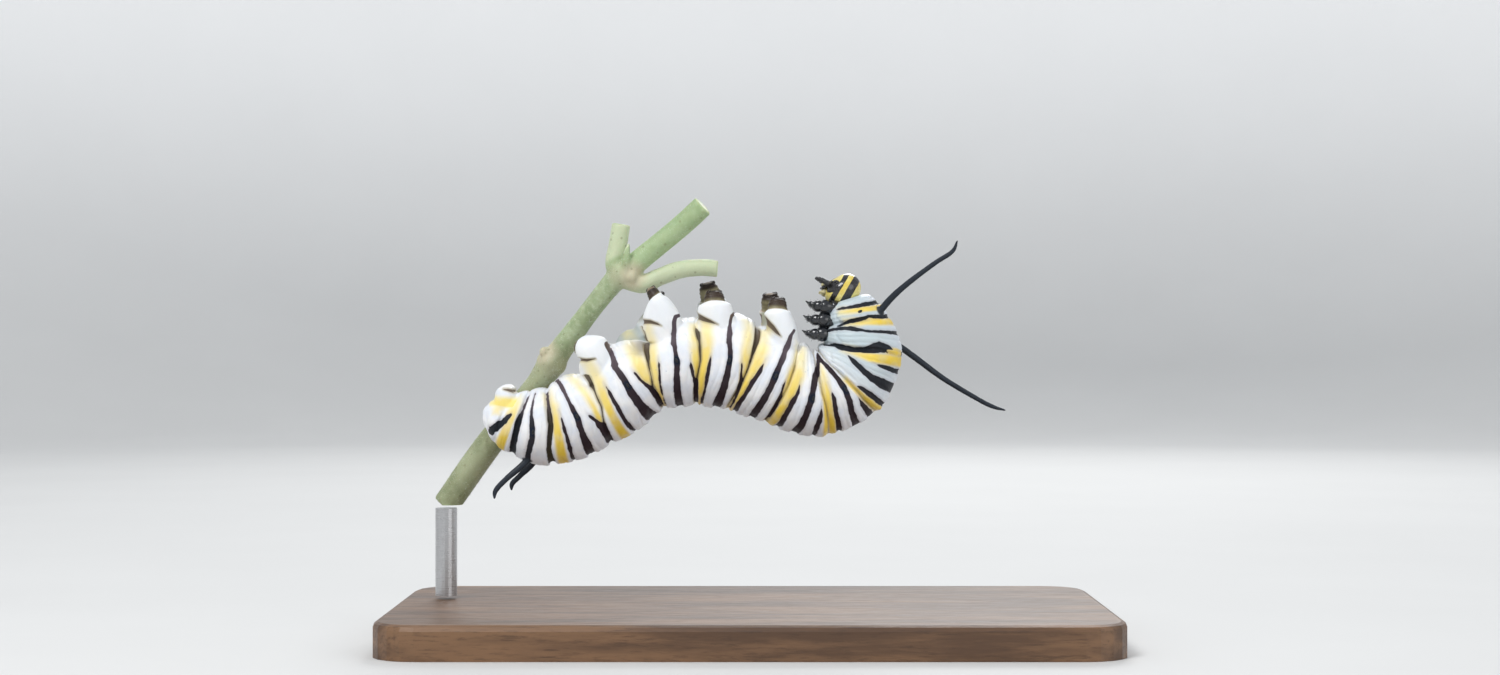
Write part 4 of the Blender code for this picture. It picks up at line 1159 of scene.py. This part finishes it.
def stem_material():
    n = Nodes("stem_green")
    patch = n.noise(260, 4, 0.6)
    streak = n.noise(1800, 3, 0.6)
    height = n.attribute("rise")
    # Fresher above the upper node, greyer between the nodes, paler on the leaf stalks and at the nodes.
    colour = n.paint(
        n.patches(patch, 0.35, 0.65, (0.24, 0.31, 0.155), (0.39, 0.46, 0.28)),
        (n.step(streak, 0.45, 0.75) * 0.5, (0.52, 0.59, 0.40)),
        (n.step(height, 32.5, 34.0) * 0.50, (0.36, 0.50, 0.25)),
        (n.step(height, 27.5, 24.5, 0.0, 0.65),
         n.patches(patch, 0.40, 0.60, (0.23, 0.24, 0.13), (0.34, 0.35, 0.21))),
        (n.step(n.attribute("stalk"), 0.3, 0.8, 0.0, 0.75), (0.58, 0.63, 0.43)),
        (n.step(n.attribute("knot"), 0.25, 0.9) * 0.8, (0.56, 0.50, 0.35)),
        (n.step(n.cells(1300), 0.20, 0.10) * 0.45, (0.17, 0.17, 0.08)),
        (n.step(n.attribute("cut"), 0.3, 0.7),
         n.patches(n.attribute("core"), 0.35, 0.8, (0.78, 0.80, 0.62), (0.42, 0.52, 0.26))))
    return n.finish(
        colour, n.step(streak, 0.3, 0.7, 0.48, 0.62), Subsurface_Weight=0.08, Subsurface_Scale=0.0005,
        Normal=n.bump(n.noise(3500, 4, 0.6), 0.5, 0.00006))


def walnut_material():
    n = Nodes("walnut")
    place = n.stretched_place((1.0, 9.0, 9.0))
    fine = n.noise(420, 4, 0.7, place)
    colour = n.patches(n.noise(55, 6, 0.6, place), 0.35, 0.65, (0.085, 0.042, 0.020), (0.20, 0.105, 0.050))
    colour = n.mix(n.step(fine, 0.5, 0.7) * 0.6, colour, (0.050, 0.024, 0.012))
    return n.finish(colour, n.step(fine, 0.3, 0.7, 0.34, 0.46), Normal=n.bump(fine, 0.25, 0.00004))


def steel_material():
    n = Nodes("brushed_rod")
    lines = n.noise(900, 3, 0.6, n.stretched_place((1.0, 1.0, 14.0)))
    return n.finish(n.mix(lines, (0.42, 0.42, 0.43), (0.60, 0.60, 0.61)), n.step(lines, 0.3, 0.7, 0.26, 0.38),
                    Metallic=1.0, Normal=n.bump(lines, 0.2, 0.00002))


def floor_material():
    """A pale floor. The wall glows a little, so that it stays as pale as the floor."""
    n = Nodes("pale_floor")
    height = n.add("SeparateXYZ", "Z", {0: n.place()})
    return n.finish(n.mix(n.noise(30, 3), (0.66, 0.66, 0.65), (0.70, 0.70, 0.69)), 0.8,
                    Emission_Color=(0.95, 0.97, 1.0), Emission_Strength=n.step(height, 0.0, 0.16, 0.0, 0.34))


# Small pieces of the body.

def build_spiracles():
    shapes = []
    for here, ahead, aside, out in spiracle_frames():
        shapes.append(ball(here - out * 0.02, SPIRACLE_HALF, 20, 10, (ahead, aside, out)))
        rim = [here + out * 0.045 + ahead * 0.10 * math.cos(a) + aside * 0.19 * math.sin(a)
               for a in np.linspace(0, 2 * math.pi, 25)]
        shapes.append(tube(np.column_stack([rim, np.full(25, 0.022)]), 8))
    material = plain_material("spiracle_black", (0.007, 0.008, 0.011), 0.42)
    add_piece("spiracles", join_shapes(shapes), material)


def build_crochets():
    """A wide arc of small hooks round the inner side of each sole, in two lengths by turns."""
    rng = np.random.default_rng(11)
    shapes = []
    for _, stops, _, sign, key in all_limbs():
        middle, path, length_way, cross_way = limb_frames(stops, [1.9])[0]
        inward = np.array([0.0, -sign, 0.0])
        inward = unit(inward - path * path.dot(inward)) if key else cross_way * np.sign(cross_way[2])
        wide = PROLEG_FORMS[key][4] * 0.92 if key else 0.55
        for k, swing in enumerate(np.radians(np.linspace(-150, 150, HOOKS))):
            radial = inward * math.cos(swing) * wide * 0.72 + length_way * math.sin(swing) * wide
            start = middle + radial * 0.72 - path * 0.12
            size = rng.uniform(0.9, 1.1) * (0.75 if k % 2 else 0.55)
            rows = smooth_path([start + path * down * size + radial * out for down, out in HOOK_KNOTS], 3)
            shapes.append(tube(np.column_stack([rows, np.linspace(0.034, 0.010, len(rows))]), 6))
    material = plain_material("crochet_brown", (0.030, 0.016, 0.010), 0.25, 0.3)
    add_piece("crochets", join_shapes(shapes), material)


def leg_spines(rng, path, radii, ahead):
    first, second = path_frames(path)
    for _ in range(34):
        row = int(rng.uniform(12, 54))
        swing = rng.uniform(0, 2 * math.pi)
        way = first[row] * math.cos(swing) + second[row] * math.sin(swing)
        base = path[row] + way * (radii[row] - 0.02)
        tip = base + way * rng.uniform(0.12, 0.24) + ahead * 0.12
        yield tube([(*base, 0.016), (*((base + tip) / 2 + way * 0.02), 0.011), (*tip, 0.004)], 4)


def build_legs():
    material = plain_material("leg_black", (0.010, 0.012, 0.016), 0.20, 0.6, 2200, 0.00003)
    shares = np.linspace(0, 1, 61)
    radii = np.interp(shares, *zip(*LEG_PROFILE))
    radii = np.convolve(np.pad(radii, 1, "edge"), (0.2, 0.6, 0.2), "valid")
    hook = LEG_HOOK * (np.maximum(shares - LEG_HOOK_START, 0) / (1 - LEG_HOOK_START)) ** 2
    rng = np.random.default_rng(5)
    for number, (root, out, lean) in LEGS.items():
        ahead = unit(np.array([lean[0], 0.0, lean[1]]))
        for side, sign in SIDES.items():
            path = np.array([root[0], sign * out, root[1]]) + ahead * (LEG_LENGTH * shares)[:, None]
            path[:, 1] += sign * LEG_SPREAD * np.sin(math.pi * shares)
            path[:, 2] += hook
            shapes = [tube(np.column_stack([path, radii]), 28), *leg_spines(rng, path, radii, ahead)]
            name = "leg_%d_%s" % (number, side)
            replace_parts(add_piece(name + "_horn", join_shapes(shapes), material), name)


# Head.

def head_frame():
    """Matrix from head coordinates (left, ahead, up towards the back) to the model, and the head's middle."""
    across = BACK[-1] - BELLY[-1]
    ahead = Matrix.Rotation(HEAD_BOW, 2) @ Vector((-across[1], across[0])).normalized()
    middle = Vector((BELLY[-1] + BACK[-1]).tolist()) / 2 + ahead * HEAD_AHEAD
    return (np.array(((0.0, -1.0, 0.0), (ahead[0], 0.0, ahead[1]), (ahead[1], 0.0, -ahead[0]))),
            np.array([middle[0], 0.0, middle[1]]))


def add_head_piece(name, shape, material, attributes=None):
    """A piece that is given in head coordinates."""
    axes, middle = head_frame()
    return add_piece(name, (shape[0] @ axes + middle, shape[1]), material, attributes)


def head_marks(x, y, z):
    """How far inside the head's black marks each point of the unit ball lies: arches, triangle and cheeks."""
    mouth = np.array([0.0, 0.80, -0.60])
    arch = np.degrees(np.arccos(np.clip(np.stack([x, y, z * 0.92], 1) @ mouth, -1, 1)))
    arches = np.maximum(0.14 - np.abs(arch - 74) * 0.016, 0.16 - np.abs(arch - 112) * 0.012)
    triangle = np.maximum(np.abs(x) - 0.42 * (0.30 - z), z - 0.30)
    triangle = np.where((y > 0.1) & (z > -0.75), 0.085 - np.abs(triangle - 0.05), -1.0)
    midline = np.where((np.abs(x) < 0.2) & (z > 0.2) & (y > 0), 0.035 - np.abs(x), -1.0)
    cheek = 0.40 - np.hypot(y - 0.55, (z + 0.42) * 0.9) - (np.abs(x) < 0.5) * 0.6
    return np.maximum.reduce([arches, triangle, midline, cheek])


def build_capsule():
    sides, rings = 160, 110
    x, y, z = sphere_rings(sides, rings, 0.01).reshape(-1, 3).T
    groove = bell(x, 0.2) * np.maximum(z + 0.1, 0.0)
    face = np.maximum(y, 0.0) * (1 - np.abs(z))
    suture = bell(x, 0.035) * rise(z, 0.05, 0.2) * rise(y, -0.6, -0.2)
    # A shallow groove on each side of the forehead's triangle, whose apex points up.
    edge = np.abs(x) - 0.30 * (0.22 - z)
    frons = bell(edge, 0.03) * rise(y, 0.3, 0.5) * fall(z, 0.10, 0.20) * rise(z, -0.72, -0.6)
    local = np.stack([x * HEAD_HALF[0], y * HEAD_HALF[1] * (1 - 0.16 * face), z * HEAD_HALF[2]], 1)
    local *= (1 - 0.06 * groove - 0.022 * suture - 0.015 * frons)[:, None]
    local *= (1 + 0.004 * value_noise(local, 0.22, 9) + 0.003 * value_noise(local, 0.1, 8))[:, None]
    black = np.append(head_marks(x, y, z), (-1.0, -1.0))
    shape = loft(local.reshape(rings, sides, 3))
    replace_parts(add_head_piece("head_capsule", shape, head_material(), attributes={"black": black}), "head")


def build_face():
    """Six simple eyes a side, jaws with teeth, upper lip, palps and spinneret."""
    eyes, jaws = [], []
    soft = [ball((0.0, 1.12, -0.98), (0.70, 0.30, 0.20), 28, 14),
            *[ball((x, 1.26, -1.24), (0.36, 0.20, 0.28), 24, 14) for x in (-0.30, 0.30)],
            ball((0.0, 0.55, -1.66), (0.34, 0.30, 0.26), 20, 12),
            tube([(0.0, 0.62, -1.75, 0.10), (0.0, 0.70, -1.95, 0.06), (0.0, 0.78, -2.08, 0.02)], 10)]
    for sign in SIDES.values():
        for swing in np.radians(EYE_DEGREES):
            y = EYE_MIDDLE[0] + EYE_ARC[0] * math.cos(swing)
            z = EYE_MIDDLE[1] + EYE_ARC[1] * math.sin(swing)
            x = HEAD_HALF[0] * math.sqrt(1 - (y / HEAD_HALF[1]) ** 2 - (z / HEAD_HALF[2]) ** 2)
            eyes.append(ball((sign * x * 0.985, y * 0.95, z * 0.985), (EYE_RADIUS,) * 3))
        jaws.append(ball((sign * 0.40, 1.02, -1.36), (0.42, 0.22, 0.34), 26, 16))
        jaws += [ball((sign * (0.08 + 0.12 * tooth), 1.08, -1.62 + 0.05 * tooth), (0.075, 0.10, 0.13), 10, 8)
                 for tooth in range(5)]
        soft.append(tube(smooth_path([(sign * x, y, z, radius) for x, y, z, radius in PALP], 3), 16))
    dark = plain_material("mouth_black", (0.014, 0.012, 0.012), 0.22, 0.6)
    pale = plain_material("mouth_pale", (0.62, 0.55, 0.30), 0.35, 0.3)
    add_head_piece("stemmata", join_shapes(eyes), dark)
    add_head_piece("mandibles", join_shapes(jaws), dark)
    add_head_piece("mouth_lobes", join_shapes(soft), pale)


def build_feelers():
    material = plain_material("antenna_black", (0.02, 0.02, 0.022), 0.35, 0.2)
    for side, sign in SIDES.items():
        rows = smooth_path([(-sign * x, y, z, radius) for x, y, z, radius in FEELER], 3)
        name = "antenna_" + side
        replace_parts(add_head_piece(name + "_horn", tube(rows, 20), material), name)


# Stem.

def stem_axes():
    """Axes along and across the stem."""
    way = unit(np.array(STEM[-1][:3]) - STEM[0][:3])
    side = unit(np.cross(way, (0, 1, 0)))
    return np.stack([way, side, np.cross(way, side)], 1)


def build_stem():
    stalks = [smooth_path(rows, steps) for rows, steps in ((STEM, 10), (PETIOLE, 8), (UPPER_PETIOLE, 8))]
    shapes = [tube(rows, 40) for rows in (*stalks, smooth_path(BUD, 6))]
    shapes += [ball(centre, half, 40, 24, stem_axes()) for centre, half in STEM_SWELLINGS]
    points, quads = remesh(shapes, 0.11)
    points = relax(points, quads, 0.5, 6)
    # Level foot and flat cut ends.
    foot = STEM[0][2]
    points[:, 2] = np.maximum(points[:, 2], foot)
    tree = point_tree(np.vstack(stalks)[:, :3])
    _, which, core = zip(*[tree.find(point) for point in points.tolist()])
    ends = fall(points[:, 2], foot + 0.03, foot + 0.10)
    for rows in stalks:
        end = rows[-1, :3]
        off = (points - end) @ unit(end - rows[-2, :3])
        near = np.linalg.norm(points - end, axis=1) < 1.6
        ends = np.maximum(ends, np.where(near, rise(off, -0.12, -0.05), 0))
    knot = np.maximum.reduce([bell(np.linalg.norm(points - place, axis=1), 1.6) for place, _ in STEM_SWELLINGS])
    normal = point_normals(points, quads)
    ridge = value_noise(points @ (stem_axes() * (0.12, 1.0, 1.0)), 0.5, 2) * 0.03
    points = points + normal * (ridge * (1 - ends))[:, None]
    off_node = np.linalg.norm(points - STEM_SWELLINGS[1][0], axis=1)
    stalk = (np.array(which) >= len(stalks[0])) * rise(off_node, 1.0, 2.4)
    attributes = {"cut": ends, "core": core, "knot": knot, "rise": points[:, 2], "stalk": stalk}
    stem = add_piece("stem", (points, quads.tolist()), stem_material(), attributes)
    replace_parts(stem, "perch_stem", "perch_petiole", "perch_petiole_upper")
    build_hairs(points, normal, ends)


def build_hairs(points, normal, ends):
    """Short pale hairs that lean along the stem."""
    rng = np.random.default_rng(21)
    picks = rng.choice(len(points), 7600, replace=False)
    verts = []
    faces = []
    for k in picks[ends[picks] < 0.1]:
        way = unit(normal[k] + rng.normal(0, 0.35, 3) + HAIR_LEAN)
        length = rng.uniform(0.07, 0.24)
        base = points[k] - normal[k] * 0.02
        side = unit(np.cross(way, rng.normal(0, 1, 3)))
        other = np.cross(way, side)
        a, b, c, tip = range(len(verts), len(verts) + 4)
        verts += [base + (side * math.cos(swing) + other * math.sin(swing)) * HAIR_RADIUS
                  for swing in (0, 2.1, 4.2)]
        verts.append(base + way * length)
        faces += [[a, b, tip], [b, c, tip], [c, a, tip], [a, c, b]]
    material = plain_material("stem_hair", (0.80, 0.84, 0.72), 0.6)
    add_piece("stem_hairs", (verts, faces), material, smooth=False)


def dress_stand():
    for name, material in (("stand_base", walnut_material()), ("stand_rod", steel_material())):
        bpy.data.objects[name].material_slots[0].material = material


# Room.

def build_floor():
    """A pale floor that curves up into a wall all round."""
    sides = 128
    profile = [(radius, 0.0) for radius in (60.0, 160.0, 300.0, 420.0)]
    profile += [(420 + 200 * math.sin(a), 200 - 200 * math.cos(a)) for a in np.linspace(0.15, math.pi / 2, 14)]
    profile.append((620.0, 270.0))
    verts = [(radius * math.cos(swing), radius * math.sin(swing), height - 0.02)
             for radius, height in profile for swing in round_angles(sides)]
    faces = [list(range(sides))] + [face[::-1] for face in ring_faces(len(profile), sides)]
    add_object("floor", verts, faces, floor_material())


def build_lights():
    target = Vector((-2.0, 0.0, 25.0)) * MM
    for name, place, size, power in LIGHTS:
        light = bpy.data.lights.new(name, "AREA")
        light.shape = "DISK"
        light.size = size * MM
        light.energy = power
        lamp = bpy.data.objects.new(name, light)
        lamp.location = Vector(place) * MM
        lamp.rotation_euler = (target - lamp.location).to_track_quat("-Z", "Y").to_euler()
        bpy.context.scene.collection.objects.link(lamp)
    world = bpy.data.worlds.new("soft_sky")
    world.use_nodes = True
    background = world.node_tree.nodes["Background"]
    background.inputs["Color"].default_value = (0.90, 0.94, 1.0, 1.0)
    background.inputs["Strength"].default_value = 0.53
    bpy.context.scene.world = world
    bpy.context.scene.view_settings.view_transform = "Standard"


def build_camera():
    camera_data = bpy.data.cameras.new("camera")
    camera_data.lens = 60.0
    camera_data.sensor_width = 36.0
    camera_data.clip_start = 0.001
    camera = bpy.data.objects.new("camera", camera_data)
    camera.location = (0.0, -0.225, 0.027)
    camera.rotation_euler = (math.pi / 2, 0.0, 0.0)
    bpy.context.scene.collection.objects.link(camera)
    bpy.context.scene.camera = camera


build_skin()
build_spiracles()
build_crochets()
build_legs()
build_capsule()
build_face()
build_feelers()
build_stem()
dress_stand()
build_floor()
build_lights()
build_camera()
